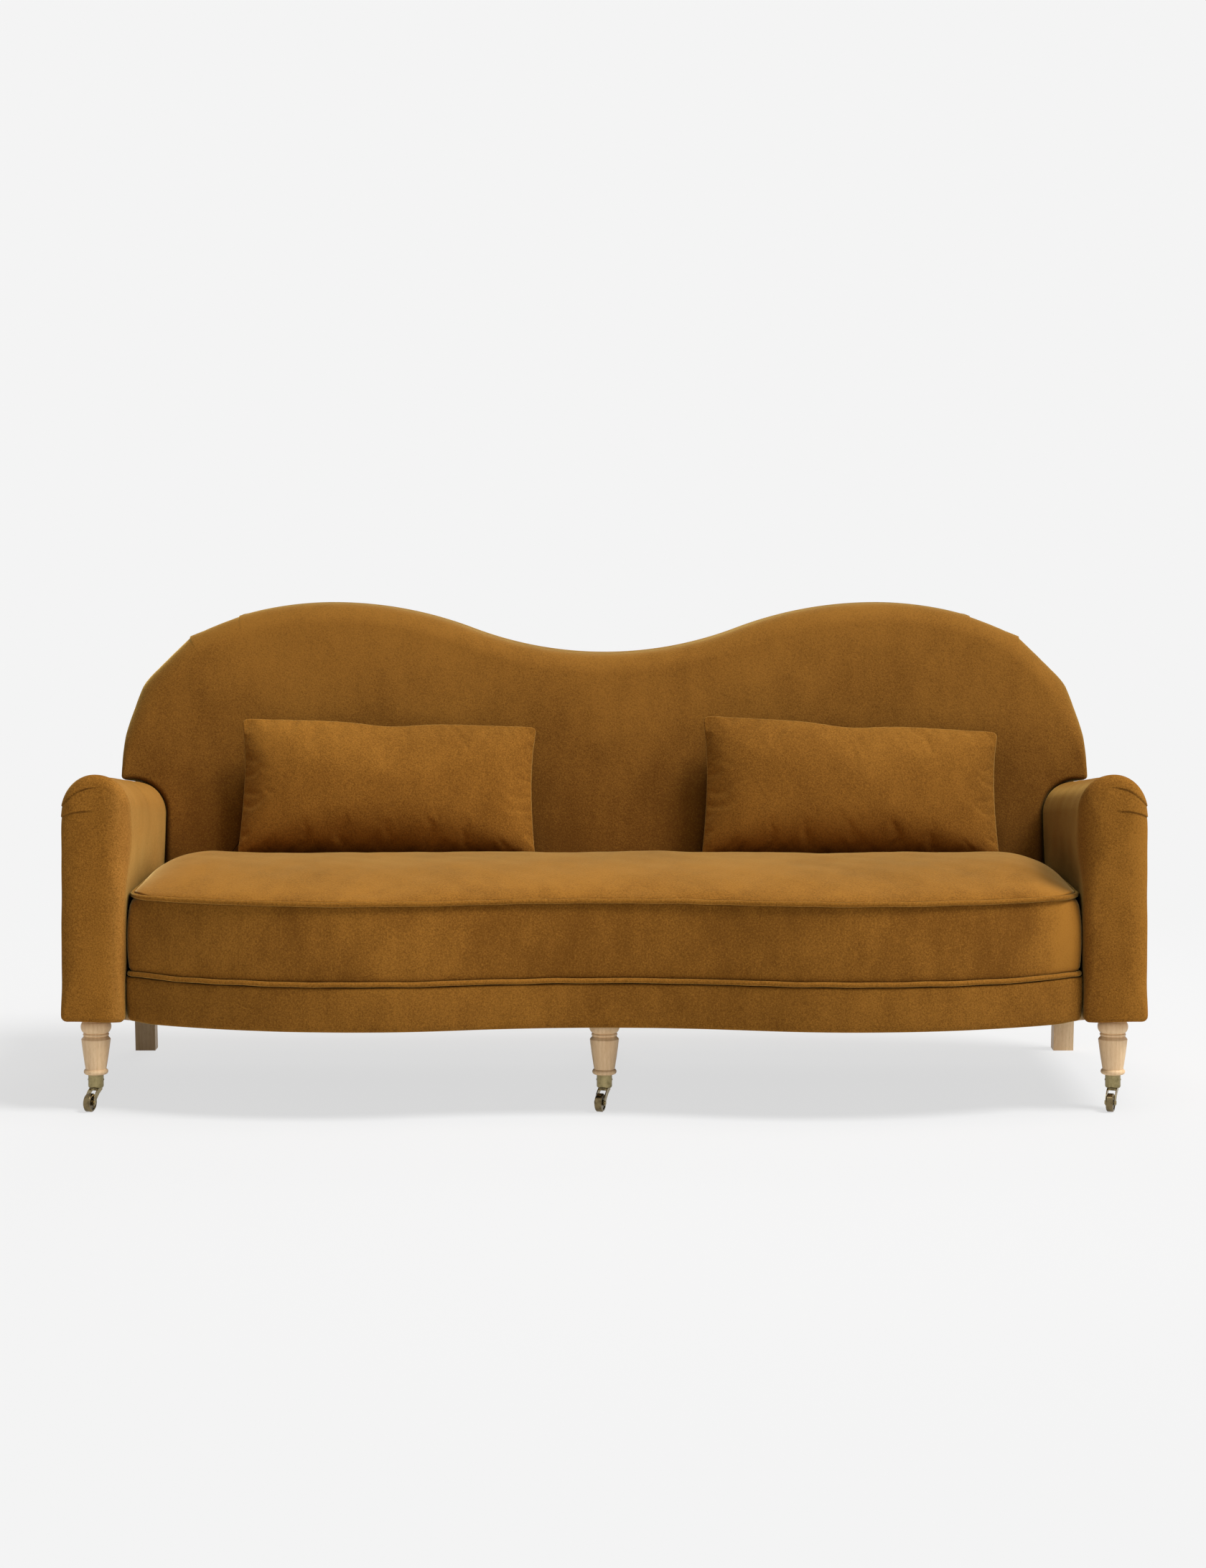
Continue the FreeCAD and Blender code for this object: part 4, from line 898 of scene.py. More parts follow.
rows = []
spine = np.stack([np.clip(ring[:, 0], -0.66, 0.66), np.full(len(ring), 0.63)], 1)
inset_ring = ring + into * (rounding - 0.35 * draw)[:, None]
for share in np.concatenate([np.linspace(0.0, 0.9, 26), np.linspace(0.9, 1.0, 7)[1:]]):
    flat = spine + (inset_ring - spine) * share
    rows.append(upright(flat, crowned(flat[:, 0], flat[:, 1])))
for angle in np.linspace(0.0, np.pi / 2, 15)[1:]:
    held = (0.35 + 0.65 * smooth(0.0, 1.0, angle / (np.pi / 2))) * draw
    flat = ring + into * (rounding * (1 - np.sin(angle)) - held)[:, None]
    rows.append(upright(flat, crowned(flat[:, 0], flat[:, 1]) + rounding * (1 - np.cos(angle))))
rim = ring - into * draw[:, None]
rim_front = rows[-1][:, 1]
rear_edge = 0.010
rim_rear = rear_plane(rim[:, 1]) - rear_edge
for share in np.linspace(0.0, 1.0, 14)[1:]:
    rows.append(upright(rim, rim_front + (rim_rear - rim_front) * share))
for angle in np.linspace(0.0, np.pi / 2, 7)[1:]:
    flat = rim + into * (rear_edge * (1 - np.cos(angle)))[..., None]
    rows.append(upright(flat, rear_plane(flat[:, 1]) - rear_edge * (1 - np.sin(angle))))
rear_ring = rows[-1][:, [0, 2]]
for share in (0.6, 0.0):
    flat = spine + (rear_ring - spine) * share
    rows.append(upright(flat, rear_plane(flat[:, 1])))
rows = np.array(rows)
near_arm = 1 - smooth(0.60, 0.70, rows[..., 2])
shift = fall[None] * (rows[..., 1:2] - near_y) * near_arm[..., None]
held_spine = np.clip(np.linalg.norm(rows[..., [0, 2]] - spine, axis=2) / 0.2, 0.0, 1.0)[..., None]
rows[..., 0:1] += shift[..., 0:1] * held_spine
rows[..., 2:3] += shift[..., 1:2] * held_spine
front_share = 1 - smooth(0.40, 0.44, rows[..., 1])
rows[..., 1] += ripple(rows, 0.30, 31) * 0.0016 * front_share + ripple(rows, 0.10, 32) * 0.0005 * front_share
# Painted light and shade on the inside back: lighter toward its top and darker toward the seat, and the whole
# of it painted darker by its level and base.
back_painted_light = [("Z", 0.45, 0.98, 0.6)]
back_velvet = velvet("back_velvet", (0.0, 0.0, 0.3), (3.1, 1.2, 0.7), 1.1, 0.77, 0.20, back_painted_light)
inside_back = skin("inside_back", rows, back_velvet)
fit(inside_back, "sofa_frame", ["inside_back_pad"])


# The outside back: one flat panel of velvet over card and wadding, from under the top edge down to the base
# and out behind both arms, blind-tacked along the top and hand-sewn down its sides.
panel_margin = 0.012
panel_foot = rail_bottom + 0.0004
outside_edge = 0.003


def panel_half():
    """The outside back's right half: from the middle of its foot, up behind the arm's roll, over the hump."""
    crown = arm_crown(0.447)
    side = shoulder_x + shoulder_radius - panel_margin
    leave = math.degrees(math.acos((side - arm_middle) / arm_radius))
    far = half_width - 0.0006
    foot = np.linspace((0.0, panel_foot), (far, panel_foot), 60)
    rise = np.linspace((far, panel_foot), (far, crown), 24)[1:]
    roll = circle((arm_middle, crown), arm_radius - 0.0006, 0.0, leave, 24)[1:]
    flank = np.linspace(roll[-1], (side, shoulder_z), 6)[1:]
    shoulder = circle(shoulder_centre, shoulder_radius - panel_margin, 0.0, shoulder_turn, 60)[1:]
    outer = circle(outer_centre, outer_hump_radius - panel_margin, shoulder_turn, 90.0, 20)[1:]
    inner = circle(inner_centre, inner_hump_radius - panel_margin, 90.0, 90.0 + hump_turn, 40)[1:]
    dip = circle(dip_centre, dip_radius + panel_margin, -90.0 + hump_turn, -90.0, 30)[1:]
    return np.concatenate([foot, rise, roll, flank, shoulder, outer, inner, dip])


outline = mirrored(panel_half())
centre = np.stack([np.clip(outline[:, 0], -0.62, 0.62), np.full(len(outline), 0.50)], 1)
flat_face = np.zeros((1, len(outline)))
rows = slab_rows(outline, centre, flat_face, flat_face + panel_thickness - 0.0005, outside_edge)
depth_in = rows[..., 2] + rear_plane(rows[..., 1]) + 0.0004
rows = np.stack([rows[..., 0], depth_in, rows[..., 1]], axis=2)
rows[..., 1] -= 0.0006 * np.abs(ripple(rows, 0.35, 41)) * (rows[..., 1] > rear_plane(rows[..., 2]) + 0.005)
outside_velvet = velvet("outside_back_velvet", (0.0, 0.0, 0.0), (4.0, 0.3, 2.2), 0.8)
outside_back = skin("outside_back", rows, outside_velvet)
fit(outside_back, "sofa_frame", ["outside_back_panel"])


# The loose bench cushion: a cover of velvet in three parts, top panel, boxing and under panel, joined by
# piped seams round a foam core. It follows the rail's curves, and its front corners curl round.
cushion_side = 0.929
front_spread = 0.0085
cushion_low = 0.2623
lower_welt_z = 0.2673
corner_low, corner_high = 0.020, 0.100
rear_corner = 0.030
welt_radius = 0.005
panel_inset = 0.0095
crown_rise = 0.0535
boxing_low, boxing_high, panel_seam = 0.2728, 0.4165, 0.4266
rear_play = 0.013


def cushion_half(corner, rear_level):
    """The cushion's plan, right half: serpentine front, corner curling round, side, rear corner and rear."""
    rear = back_face(rear_level) - rear_play
    side = cushion_side + front_spread
    corner_x = side - corner
    reach = bulge_radius - corner
    corner_y = bulge_y - math.sqrt(reach**2 - (corner_x - bulge_x) ** 2)
    start = math.degrees(math.asin((corner_x - bulge_x) / reach)) - 90.0
    x = np.linspace(0.0, corner_x + corner * math.cos(math.radians(start)), 400)
    front_line = np.stack([x, serpentine(x, 0.0)], 1)
    turn = circle((corner_x, corner_y), corner, start, 0.0, 80)
    rear_turn = circle((side - rear_corner, rear - rear_corner), rear_corner, 0.0, 90.0, 30)
    half = spaced(np.concatenate([front_line, turn[1:], rear_turn, [[0.0, rear]]]), plan_shares)
    half[:, 0] -= front_spread * smooth(0.6, side, half[:, 0]) * smooth(-0.10, 0.15, half[:, 1])
    return half


plan_shares = np.linspace(0.0, 1.0, 331)
top_plan = mirrored(cushion_half(corner_high, seat_edge))
low_plan = mirrored(cushion_half(corner_low, cushion_low))
middle_x = np.linspace(0.0, 0.8, 41)
middle_y = 0.5 * (serpentine(middle_x, 0.0) + back_face(seat_edge) - rear_play)


def cushion_ring(z):
    """The plan at a height: its corners open out and its rear follows the back's rake toward the top."""
    share = np.clip((z - cushion_low) / (seat_edge - cushion_low), 0.0, 1.0)
    at_corner = smooth(0.70, 0.86, np.abs(low_plan[:, :1])) * (1 - smooth(-0.20, 0.0, low_plan[:, 1:]))
    return low_plan + (top_plan - low_plan) * (share * (1 - at_corner) + share**7 * at_corner)


def crown_at(x, y):
    """The top panel's rise over its seam: a flat-topped arch from front to rear, fading toward the arms."""
    near = serpentine(np.minimum(np.abs(x), 0.90), panel_inset)
    far = back_face(seat_edge) - rear_play - panel_inset
    across = np.clip(np.abs(2 * (y - near) / (far - near) - 1), 0.0, 1.0)
    arch = np.maximum(1 - across**2.3, 0.0) ** 0.85
    edge = cushion_side + front_spread * (1 - smooth(-0.10, 0.15, y)) - panel_inset
    fade = np.maximum(1 - np.clip((np.abs(x) - 0.80) / (edge - 0.80), 0.0, 1.0) ** 2.2, 0.0) ** 0.75
    return crown_rise * arch * fade


def lifted(plan, z):
    """Points of a plan, (x, y), at a height: one for all of them, or one for each."""
    return np.column_stack([plan, np.broadcast_to(z, len(plan))])


def panel_spine(ring):
    """The line that a panel's rings close down to: midway between front and rear, short of the sides."""
    x = np.clip(ring[:, 0], -0.70, 0.70)
    return np.stack([x, np.interp(np.abs(x), middle_x, middle_y)], 1)


rows = []
for share in (0.0, 0.4, 0.8, 0.96):
    ring = low_plan + inward(low_plan) * panel_inset
    rows.append(lifted(panel_spine(ring) + (ring - panel_spine(ring)) * share, cushion_low))
boxing = [(panel_inset, cushion_low)]
boxing += [(0.0103, 0.2650), (0.0105, 0.2676), (0.0098, 0.2703), (0.0088, boxing_low)]
for share in np.linspace(0.0, 1.0, 23)[1:-1]:
    inset = 0.0086 - 0.0052 * np.sin(np.pi * share) ** 0.8
    boxing.append((inset, boxing_low + (boxing_high - boxing_low) * share))
boxing += [(0.0088, boxing_high), (0.0098, 0.4190), (0.0105, 0.4217), (0.0103, 0.4243)]
boxing += [(panel_inset, panel_seam)]
for inset, z in boxing:
    ring = cushion_ring(z)
    flat = ring + inward(ring) * inset
    fuller = 0.0038 * smooth(0.268, 0.280, z) * (1 - smooth(0.405, 0.418, z))
    fuller = fuller * (1 - smooth(-0.2, 0.0, flat[:, 1]))
    flat[:, 0] += np.sign(flat[:, 0]) * fuller * smooth(0.86, 0.92, np.abs(flat[:, 0]))
    rows.append(lifted(flat, z))
top_edge = top_plan + inward(top_plan) * panel_inset
for share in np.concatenate([[0.002, 0.005, 0.01, 0.018, 0.03, 0.045], np.linspace(0.06, 1.0, 36)]):
    flat = top_edge + (panel_spine(top_edge) - top_edge) * share
    rows.append(lifted(flat, panel_seam + crown_at(flat[:, 0], flat[:, 1])))
rows = np.array(rows)
rows[..., 2] += 0.004 * smooth(0.80, 0.93, np.abs(rows[..., 0])) * (1 - smooth(0.27, 0.33, rows[..., 2]))
on_top = smooth(0.428, 0.440, rows[..., 2])
rows[..., 2] += on_top * (ripple(rows, 0.26, 51) * 0.0016 + ripple(rows, 0.09, 52) * 0.0006)
# Painted light and shade on the seat: the top panel lighter than the boxing, as if lit from above; bands
# across its width lighter or darker as the lamps fall; and its right end much lighter, painted light where
# the right arm's shadow falls.
seat_painted_light = (
    ("Z", 0.41, 0.45, 0.36),
    ("X", -0.45, -0.15, -0.05),
    ("X", 0.12, 0.28, 0.06),
    ("X", 0.30, 0.60, -0.12),
    ("X", 0.80, 0.92, 0.62),
    ("X", -0.74, -0.90, 0.08),
)
seat_look = {"depth": 1.3, "painted_shade": 1.02, "base": 0.39, "tint": (1.0, 0.73, 0.29), "crease": 0.022}
seat_velvet = velvet("seat_velvet", (0.0, 0.0, 1.1), (0.2, 2.3, 1.4), painted_light=seat_painted_light, **seat_look)
seat_cover = skin("seat_cover", rows, seat_velvet)
fit(seat_cover, "seat_cushion", ["seat_cushion_cover"])


def tube(name, line, radius, material, turns=14):
    """A round cord along a closed line: circles square to it, turned from its direction and the upright."""
    along = np.roll(line, -1, axis=0) - np.roll(line, 1, axis=0)
    along /= np.linalg.norm(along, axis=1)[:, None]
    aside = np.cross(along, (0.0, 0.0, 1.0))
    aside /= np.linalg.norm(aside, axis=1)[:, None]
    up = np.cross(aside, along)
    angle = np.linspace(0.0, 2 * np.pi, turns, endpoint=False)[None, :, None]
    rings = line[:, None] + radius * (aside[:, None] * np.cos(angle) + up[:, None] * np.sin(angle))
    index = np.arange(len(line) * turns).reshape(len(line), turns)
    beside = np.roll(index, -1, axis=1)
    faces = np.stack([index, beside, np.roll(beside, -1, axis=0), np.roll(index, -1, axis=0)], axis=-1)
    return solid(name, rings, faces.reshape(-1, 4).tolist(), material)


# The piping: bias-cut velvet folded round a 10 mm cord and sewn into both of the boxing's seams. It stands
# proud of the panels and dips with them at the front corners.
welt_velvet = velvet("piping_velvet", (0.4, 0.0, 0.7), (1.2, 3.3, 0.4), 0.6)
for side, z in (("top", seat_edge), ("bottom", lower_welt_z)):
    plan = cushion_ring(z)
    line = lifted(plan + inward(plan) * welt_radius, z)
    line[:, 2] += ripple(line, 0.12, 61) * 0.0006 + (z < 0.3) * 0.004 * smooth(0.80, 0.93, np.abs(line[:, 0]))
    piping = tube(side + "_piping", line, welt_radius, welt_velvet)
    fit(piping, "seat_cushion", ["cushion_" + side + "_welt"])


# The two lumbar pillows: knife-edged bags of velvet, sewn round, turned and filled with feathers.
# A cloth simulation presses each bag's panels out between its seams, which pucker as the velvet is fuller.
pillow_size = (0.622, 0.128, 0.304)
bag_grid = (116, 60)
bag_corner = 0.016
bag_start = 0.114
bag_fullness = 0.014
bag_pressure = 5.0
bag_frames = 34
back_touch, seat_touch = 0.0035, 0.0040


def bag_faces(columns, lines):
    """Front and back panels of a bag, as quads. They share the outline's points, and wind outward."""
    across, up = np.meshgrid(np.arange(columns + 1), np.arange(lines + 1))
    front = across + up * (columns + 1)
    back = front + front.size
    seam = (across == 0) | (across == columns) | (up == 0) | (up == lines)
    back = np.where(seam, front, back)
    faces = []
    for sheet in (front, back[:, ::-1]):
        corners = [sheet[:-1, :-1], sheet[:-1, 1:], sheet[1:, 1:], sheet[1:, :-1]]
        faces.append(np.stack(corners, axis=-1).reshape(-1, 4))
    return np.concatenate(faces), np.flatnonzero(seam)


def bag_points(columns, lines):
    """The bag between its seams: straight sides, a notch struck into the top edge, and two arches.

    The arches' height is (1 - |u|^3.2)^0.6 (1 - |v|^k)^0.6, u and v running from -1 to 1 over a panel. The
    filling has settled, so k is 2.4 in the upper half and 4 in the lower one.
    """
    u, v = np.meshgrid(np.linspace(-1, 1, columns + 1), np.linspace(-1, 1, lines + 1))
    u, v = np.sin(u * 1.15) / np.sin(1.15), np.sin(v * 1.0) / np.sin(1.0)
    notch = 0.0025 * (1 - u**4) - 0.0085 * np.exp(-((u / 0.22) ** 2))
    x = 0.5 * pillow_size[0] * u * (1 - 0.018 * (1 - v**2)) * (1 - 0.010 * (1 - v) * (1 + v) ** 2)
    z = 0.5 * pillow_size[2] * v + notch * smooth(-0.2, 1.0, v)
    past_x = np.clip((np.abs(x) - pillow_size[0] / 2) / bag_corner + 1, 0.0, 1.0)
    past_z = np.clip((np.abs(z) - pillow_size[2] / 2) / bag_corner + 1, 0.0, 1.0)
    x -= np.sign(x) * bag_corner * past_x * (1 - np.sqrt(1 - past_z**2 / 2))
    z -= np.sign(z) * bag_corner * past_z * (1 - np.sqrt(1 - past_x**2 / 2))
    arch = (1 - np.abs(u) ** 3.2) ** 0.6 * (1 - np.abs(v) ** np.where(v > 0, 2.4, 4.0)) ** 0.6
    front = np.stack([x, -arch * bag_start / 2, z], axis=-1).reshape(-1, 3)
    back = np.stack([x, arch * bag_start / 2, z], axis=-1).reshape(-1, 3)
    return np.concatenate([front, back])


faces, seam = bag_faces(*bag_grid)
used = np.unique(faces)
plump_bag = bag_points(*bag_grid)[used]
faces, seam = np.searchsorted(used, faces), np.searchsorted(used, seam)


def filled(points):
    """The bag pressed out: Blender's cloth under inner pressure, with its seam held, until it comes to rest.

    The velvet is cut fuller than its seams, most beside them, so it gathers there into small puckers.
    """
    mesh = bpy.data.meshes.new("bag")
    mesh.from_pydata(points.tolist(), [], faces.tolist())
    bag = bpy.data.objects.new("bag", mesh)
    bpy.context.scene.collection.objects.link(bag)
    held = bag.vertex_groups.new(name="seam")
    held.add(seam.tolist(), 1.0, "REPLACE")
    cloth = bag.modifiers.new("cloth", "CLOTH")
    settings = cloth.settings
    settings.quality = 8
    settings.mass = 0.25
    settings.tension_stiffness = settings.compression_stiffness = 22.0
    settings.shear_stiffness = 9.0
    settings.bending_stiffness = 0.25
    settings.tension_damping = settings.compression_damping = 12.0
    settings.shear_damping = 8.0
    settings.bending_damping = 1.0
    settings.air_damping = 3.0
    settings.vertex_group_mass = "seam"
    settings.shrink_min = -bag_fullness
    settings.use_pressure = True
    settings.uniform_pressure_force = bag_pressure
    settings.effector_weights.gravity = 0.0
    cloth.collision_settings.use_collision = False
    cloth.point_cache.frame_start = 1
    cloth.point_cache.frame_end = bag_frames
    scene = bpy.context.scene
    for frame_number in range(1, bag_frames + 1):
        scene.frame_set(frame_number)
    grown = bag.evaluated_get(bpy.context.evaluated_depsgraph_get()).data
    found = np.empty(len(grown.vertices) * 3)
    grown.vertices.foreach_get("co", found)
    scene.frame_set(1)
    bpy.data.objects.remove(bag)
    bpy.data.meshes.remove(mesh)
    return found.reshape(-1, 3)


blown = filled(plump_bag)
blown_low, blown_high = blown.min(axis=0), blown.max(axis=0)
blown = (blown - (blown_high + blown_low) / 2) * (np.array(pillow_size) / (blown_high - blown_low))
pillow_stance = {"left": (1.0, -0.45, 0.945, 0.022), "right": (-1.0, -0.75, 0.950, 0.045)}


def settled(name, shape, side, material, room=0.0):
    """A filled bag in its place: turned a little in its own plane, leaned on the back, pressed flat there.

    Its stance is 1, or -1 for the mirrored one, its turn in degrees, its height's share at the middle, and
    what its left end adds to that.
    """
    mirror, roll, tall, slant = pillow_stance[side]
    low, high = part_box(side + "_pillow_cover")
    centre = (np.array(low) + np.array(high)) / 2
    x, y, z = shape[:, 0] * mirror, shape[:, 1], shape[:, 2]
    z = (z + pillow_size[2] / 2) * (tall - slant * x / (pillow_size[0] / 2)) - pillow_size[2] / 2
    turn = math.radians(roll)
    x, z = x * math.cos(turn) - z * math.sin(turn), x * math.sin(turn) + z * math.cos(turn)
    lean_sine, lean_cosine = math.sin(rake_angle), math.cos(rake_angle)
    y, z = y * lean_cosine + z * lean_sine, z * lean_cosine - y * lean_sine
    placed = np.stack([x, y, z], 1) + centre
    behind = crowned(placed[:, 0], placed[:, 2]) - back_touch - room
    placed[:, 1] = np.minimum(placed[:, 1], behind)
    under = panel_seam + crown_at(placed[:, 0], placed[:, 1]) + seat_touch + room
    placed[:, 2] = np.maximum(placed[:, 2], under)
    return solid(name, placed, faces.tolist(), material)


for side, way in (("left", 1.0), ("right", -1.0)):
    # The right pillow's velvet is painted a little darker than the left's: painted shade.
    tone = 0.97 - 0.035 * (1 - way)
    pillow_velvet = velvet(side + "_pillow_velvet", (0.0, 0.0, 0.5), (way, 5.1, 0.8), 1.0, tone)
    pillow = settled(side + "_lumbar_pillow", blown, side, pillow_velvet)
    fit(pillow, side + "_pillow", [side + "_pillow_cover"])
    finer = pillow.modifiers.new("rounding", "SUBSURF")
    finer.levels = finer.render_levels = 1


# The pillows' inserts: feathers in a plain cotton bag. It is cut a little smaller than the cover, so that it
# slips in and out for washing.
cotton = Finish("insert_cotton")
spot = cotton.spot()
thread = cotton.noise(spot, 900.0, 2.0)
crumple = cotton.noise(spot, 28.0, 3.0)
cotton_share = (thread * 0.5 + crumple * 0.5).step(0.3, 0.7)
cotton_tone = cotton.mix(cotton_share, (0.66, 0.63, 0.56, 1.0), (0.82, 0.80, 0.74, 1.0))
cotton_relief = cotton.relief(thread + crumple * 3.0, 0.4, 0.001)
cotton.coat({"Base Color": cotton_tone, "Roughness": 0.9, "Sheen Weight": 0.2, "Normal": cotton_relief})

insert_share, insert_room = 0.91, 0.006
for side in ("left", "right"):
    insert = settled(side + "_feather_insert", blown * insert_share, side, cotton.material, insert_room)
    fit(insert, side + "_pillow", [side + "_pillow_insert"])


# The cushion's core: a slab of firm foam cut to the cover's plan. Its edges are eased, so that the cover
# slides on and its piping lies clear of the foam.
foam = Finish("cushion_foam")
spot = foam.spot()
cells = foam.node("ShaderNodeTexVoronoi", {}, {"Vector": spot, "Scale": 700.0})
patches = foam.noise(spot, 12.0, 3.0)
foam_share = (cells * 0.6 + patches * 0.7).step(0.25, 0.85)
foam_tone = foam.mix(foam_share, (0.72, 0.60, 0.36, 1.0), (0.86, 0.78, 0.56, 1.0))
foam.coat({"Base Color": foam_tone, "Roughness": 0.95, "Normal": foam.relief(cells, 0.35, 0.0008)})

core_inset = 0.030
core_low, core_high = 0.2750, 0.3990
core_ease = 0.008
core_plan = top_plan + inward(top_plan) * core_inset
core_edge = core_plan + inward(core_plan) * core_ease
rows = []
for share in (0.0, 0.5, 1.0):
    rows.append(lifted(panel_spine(core_plan) + (core_edge - panel_spine(core_plan)) * share, core_low))
for angle in np.linspace(0.0, np.pi / 2, 5)[1:]:
    flat = core_plan + (core_edge - core_plan) * (1 - np.sin(angle))
    rows.append(lifted(flat, core_low + core_ease * (1 - np.cos(angle))))
upper = np.array(rows[::-1]) * (1.0, 1.0, -1.0) + (0.0, 0.0, core_low + core_high)
foam_core = skin("foam_core", np.concatenate([rows, upper]), foam.material)
fit(foam_core, "seat_cushion", ["seat_cushion_core"])


# The deck pad: felt laid over the seat webbing, under the loose cushion, and stitched to the frame's edges.
# It keeps the straps from wearing the cushion.
pad_low, pad_high, pad_round = 0.2521, 0.2615, 0.004
pad_inset, pad_side, pad_rear, pad_corner = 0.0162, 0.9292, 0.3445, 0.012


def deck_half(inset, side, rear):
    """The deck's plan, right half: the serpentine line, the side and the rear, with eased corners."""
    centre_x = side - pad_corner
    x = np.linspace(0.0, centre_x, 300)
    near = np.stack([x, serpentine(x, inset)], 1)
    corner = circle((centre_x, near[-1, 1] + pad_corner), pad_corner, -90.0, 0.0, 8)[1:]
    rear_turn = circle((centre_x, rear - pad_corner), pad_corner, 0.0, 90.0, 8)
    return spaced(np.concatenate([near, corner, rear_turn, [[0.0, rear]]]), np.linspace(0.0, 1.0, 201))


pad_plan = mirrored(deck_half(pad_inset, pad_side, pad_rear))
centre = np.stack([np.clip(pad_plan[:, 0], -0.80, 0.80), np.full(len(pad_plan), 0.0)], 1)
level = np.zeros((1, len(pad_plan)))
rows = slab_rows(pad_plan, centre, level + pad_low, level + pad_high, pad_round)
rows[..., 2] -= (rows[..., 2] > 0.257) * (0.0006 + 0.0006 * ripple(rows, 0.12, 71))
felt = Finish("deck_felt")
spot = felt.spot()
fibres = felt.noise(spot, 260.0, 5.0, 0.75)
mottle = felt.noise(spot, 30.0, 2.0)
felt_share = (fibres * 0.8 + mottle * 0.3).step(0.35, 0.75)
felt_tone = felt.mix(felt_share, (0.20, 0.16, 0.11, 1.0), (0.42, 0.36, 0.27, 1.0))
felt.coat({"Base Color": felt_tone, "Roughness": 0.97, "Normal": felt.relief(fibres, 0.5, 0.001)})
deck = skin("deck_felt_pad", rows, felt.material)
fit(deck, "sofa_frame", ["deck_pad"])


# The webbing: 60 mm jute straps, strained over the rails and woven through each other under the seat, and
# three across the back. Each is folded over and tacked at its ends.
strap_width, strap_thickness = 0.060, 0.0016


def straps(name, lines, side, up, material):
    """Flat straps along lines of points: a thin section with rounded edges, from a side and an up direction.

    The UV map is the distance across and along each strap, in metres, for the weave.
    """
    half_w, half_t = strap_width / 2, strap_thickness / 2
    edge = half_w - half_t
    lower = [(-half_w, 0.0)] + [(edge * share, -half_t) for share in (-1.0, -0.5, 0.0, 0.5, 1.0)]
    section = np.concatenate([lower, -np.array(lower)])
    lines = np.array(lines)
    points = lines[:, :, None] + section[:, :1] * side + section[:, 1:] * up
    weave = np.stack(np.broadcast_arrays(section[:, 0], distances(lines)[..., None]), axis=-1)
    return solid(name, points, rods(points), material, weave=weave.reshape(-1, 2))


jute = Finish("jute_webbing")
place = jute.node("ShaderNodeUVMap", {"uv_map": "weave"}, {})
across, along = jute.part(place, "X"), jute.part(place, "Y")
threads = (across * (2 * math.pi / 0.0030)).sine() * (along * (2 * math.pi / 0.0026)).sine()
fibre = jute.noise(jute.spot(), 500.0, 3.0)
off_centre = abs(across)
stripe = off_centre.step(0.0175, 0.0180) * (1 - off_centre.step(0.0215, 0.0220))
plain = jute.mix((threads * 0.25 + fibre).step(0.2, 0.9), (0.30, 0.205, 0.105, 1.0), (0.56, 0.43, 0.26, 1.0))
striped = jute.mix(stripe * 0.8, plain, (0.10, 0.045, 0.025, 1.0))
jute.coat({"Base Color": striped, "Roughness": 0.9, "Normal": jute.relief(threads + fibre, 0.5, 0.0006)})

strap_pitch, cross_pitch = 0.145112, 0.182
weave_level, weave_rise, weave_reach = 0.2500, 0.00105, 0.045
rail_top, strap_forward = 0.2481, 0.054
strap_inset, strap_rear, cross_end, back_end = 0.0165, 0.3440, 1.0565, 0.929


def woven(run, crossings):
    """How far a strap rises or dips along its run: over and under the straps it crosses, 1 to -1."""
    return sum(way * np.exp(-(((run - place) / weave_reach) ** 4)) for place, way in crossings)


seat_lines, cross_lines, back_lines = [], [], []
for number in range(-6, 7):
    x = number * strap_pitch
    strap_front = float(serpentine(abs(x) + strap_width / 2, strap_inset)) + 0.001
    y = np.linspace(strap_front, strap_rear, 90)
    over = woven(y, [(row * cross_pitch, 1 if (number + row) % 2 else -1) for row in (-1, 0, 1)])
    seat_lines.append(np.stack([np.full(90, x), y, weave_level + over * weave_rise], 1))
for row in (-1, 0, 1):
    x = np.linspace(-cross_end, cross_end, 420)
    over = woven(x, [(number * strap_pitch, -1 if (number + row) % 2 else 1) for number in range(-6, 7)])
    at_side = smooth(0.93, 0.99, np.abs(x))
    level = (weave_level + over * weave_rise) * (1 - at_side) + (rail_top + strap_thickness / 2) * at_side
    cross_lines.append(np.stack([x, np.full(420, row * cross_pitch), level], 1))
for low in (0.4302, 0.5305, 0.6309):
    middle = low + strap_width / 2
    x = np.linspace(-back_end, back_end, 60)
    y = rear_y + (middle - rear_top) * rear_lean - strap_forward
    back_lines.append(np.stack([x, np.full(60, y), np.full(60, middle)], 1))
webbing = [
    ("seat", seat_lines, (1, 0, 0), (0, 0, 1)),
    ("cross", cross_lines, (0, 1, 0), (0, 0, 1)),
    ("back", back_lines, (0.0, rear_lean, 1.0), (0.0, 1.0, -rear_lean)),
]
for name, lines, side, up in webbing:
    group = straps(name + "_straps", lines, side, up, jute.material)
    fit(group, "sofa_frame", [name + "_webbing"])


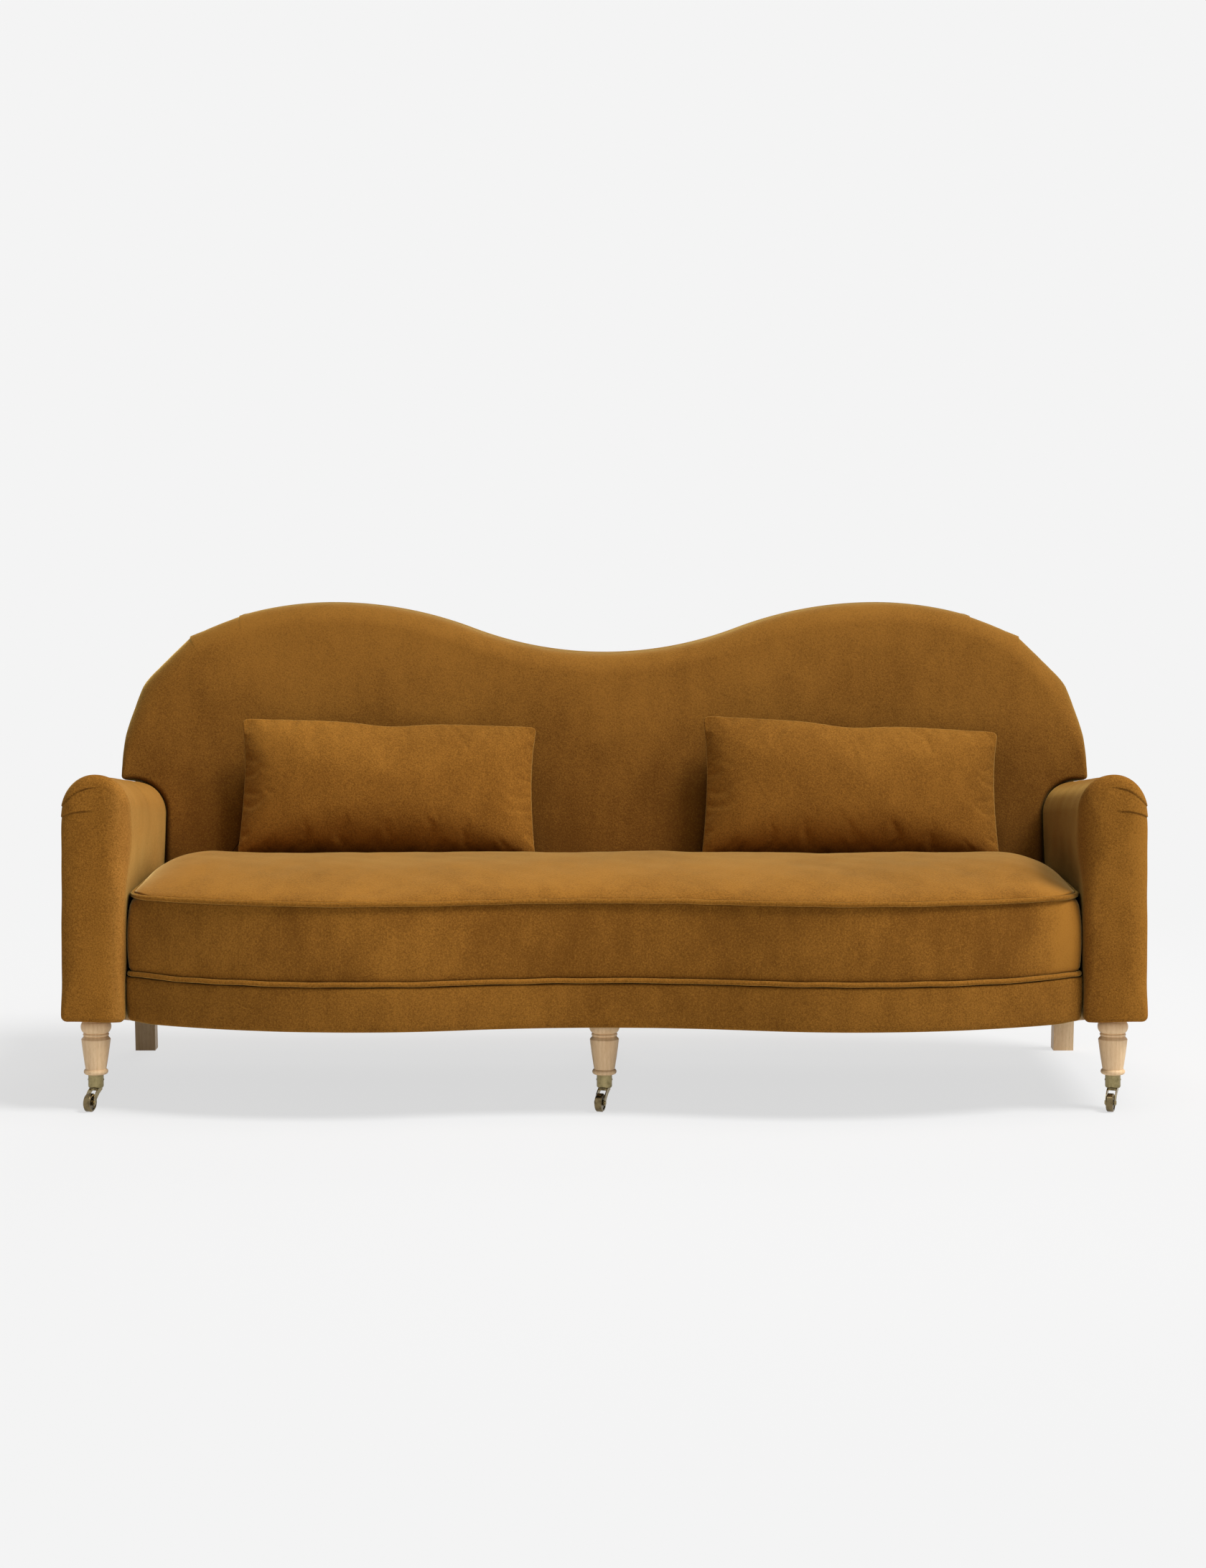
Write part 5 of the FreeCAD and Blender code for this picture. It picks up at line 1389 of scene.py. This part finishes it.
# The dust cover: black cambric cut to the frame's underside, slit for the centre leg, pulled tight and
# stapled all round, over the tacked edges of the velvet.
dust_level = 0.1774
dust_wide, dust_side, dust_block, dust_rear = 1.0280, 0.9525, -0.2540, 0.3520
dust_inset = 0.026
leg_hole, leg_place = 0.0305, (0.0, foot_y)
x = np.linspace(0.0, dust_side, 160)
corners = [(dust_side, dust_block), (dust_wide, dust_block), (dust_wide, dust_rear), (0.0, dust_rear)]
dust_half = np.concatenate([np.stack([x, serpentine(x, dust_inset)], 1), corners])
dust_edge = mirrored(spaced(dust_half, np.linspace(0.0, 1.0, 321)))
from_leg = dust_edge - leg_place
leg_edge = from_leg / np.linalg.norm(from_leg, axis=1)[:, None] * leg_hole + leg_place
share = np.linspace(0.0, 1.0, 44)[:, None, None] ** 1.3
flat = leg_edge + (dust_edge - leg_edge) * share
rows = np.concatenate([flat, np.full(flat.shape[:2] + (1,), dust_level)], axis=-1)
rows[..., 2] += 0.0002 * ripple(rows, 0.30, 81) * (1 - share[..., 0] ** 6)
index = np.arange(rows[..., 0].size).reshape(rows.shape[:2])
beside = np.roll(index, -1, axis=1)
faces = np.stack([index[:-1], index[1:], beside[1:], beside[:-1]], axis=-1).reshape(-1, 4)
after = np.roll(dust_edge, -1, axis=0)

cambric = Finish("black_cambric")
spot = cambric.spot()
side_way, deep_way = cambric.part(spot, "X"), cambric.part(spot, "Y")
dimples = (side_way * (2 * math.pi / 0.0024)).sine() * (deep_way * (2 * math.pi / 0.0024)).sine()
fibre = cambric.noise(spot, 420.0, 4.0, 0.7)
clouds = cambric.noise(spot, 9.0, 3.0)
black_share = (fibre * 0.8 + clouds * 0.4).step(0.35, 0.85)
black_tone = cambric.mix(black_share, (0.008, 0.008, 0.009, 1.0), (0.030, 0.029, 0.028, 1.0))
cambric_relief = cambric.relief(dimples + fibre, 0.5, 0.0004)
cambric.coat({"Base Color": black_tone, "Roughness": 0.88, "Normal": cambric_relief})
dust_sheet = solid("dust_sheet", rows, faces.tolist(), cambric.material, closed=False)
fit(dust_sheet, "sofa_frame", ["dust_cover"])

staple_gap, staple_length, staple_in = 0.052, 0.0105, 0.008
staple_wide, staple_high = 0.00055, 0.00028
staple_run = distances(np.concatenate([dust_edge, dust_edge[:1]]))
nearest = np.searchsorted(staple_run, np.arange(staple_gap / 2, staple_run[-1], staple_gap)) - 1
way = (after - dust_edge)[nearest] / np.diff(staple_run)[nearest, None]
middle = dust_edge[nearest] + inward(dust_edge)[nearest] * staple_in
around = np.linspace(0.0, 2 * np.pi, 8, endpoint=False)
lengths = np.array([-0.5, -0.46, 0.0, 0.46, 0.5]) * staple_length
thick = np.array([0.35, 1.0, 1.0, 1.0, 0.35])[:, None]
reach = way[:, None, None] * lengths[:, None, None]
aside = np.stack([-way[:, 1], way[:, 0]], 1)[:, None, None]
sideways = aside * (thick * np.cos(around))[..., None] * staple_wide
plan = middle[:, None, None] + reach + sideways
lift = np.broadcast_to((thick * np.sin(around) * staple_high)[..., None], plan.shape[:3] + (1,))
points = np.concatenate([plan, lift + dust_level - 0.0007], axis=-1)
staples = solid("dust_staples", points, rods(points), steel.material)
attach(staples, "sofa_frame")
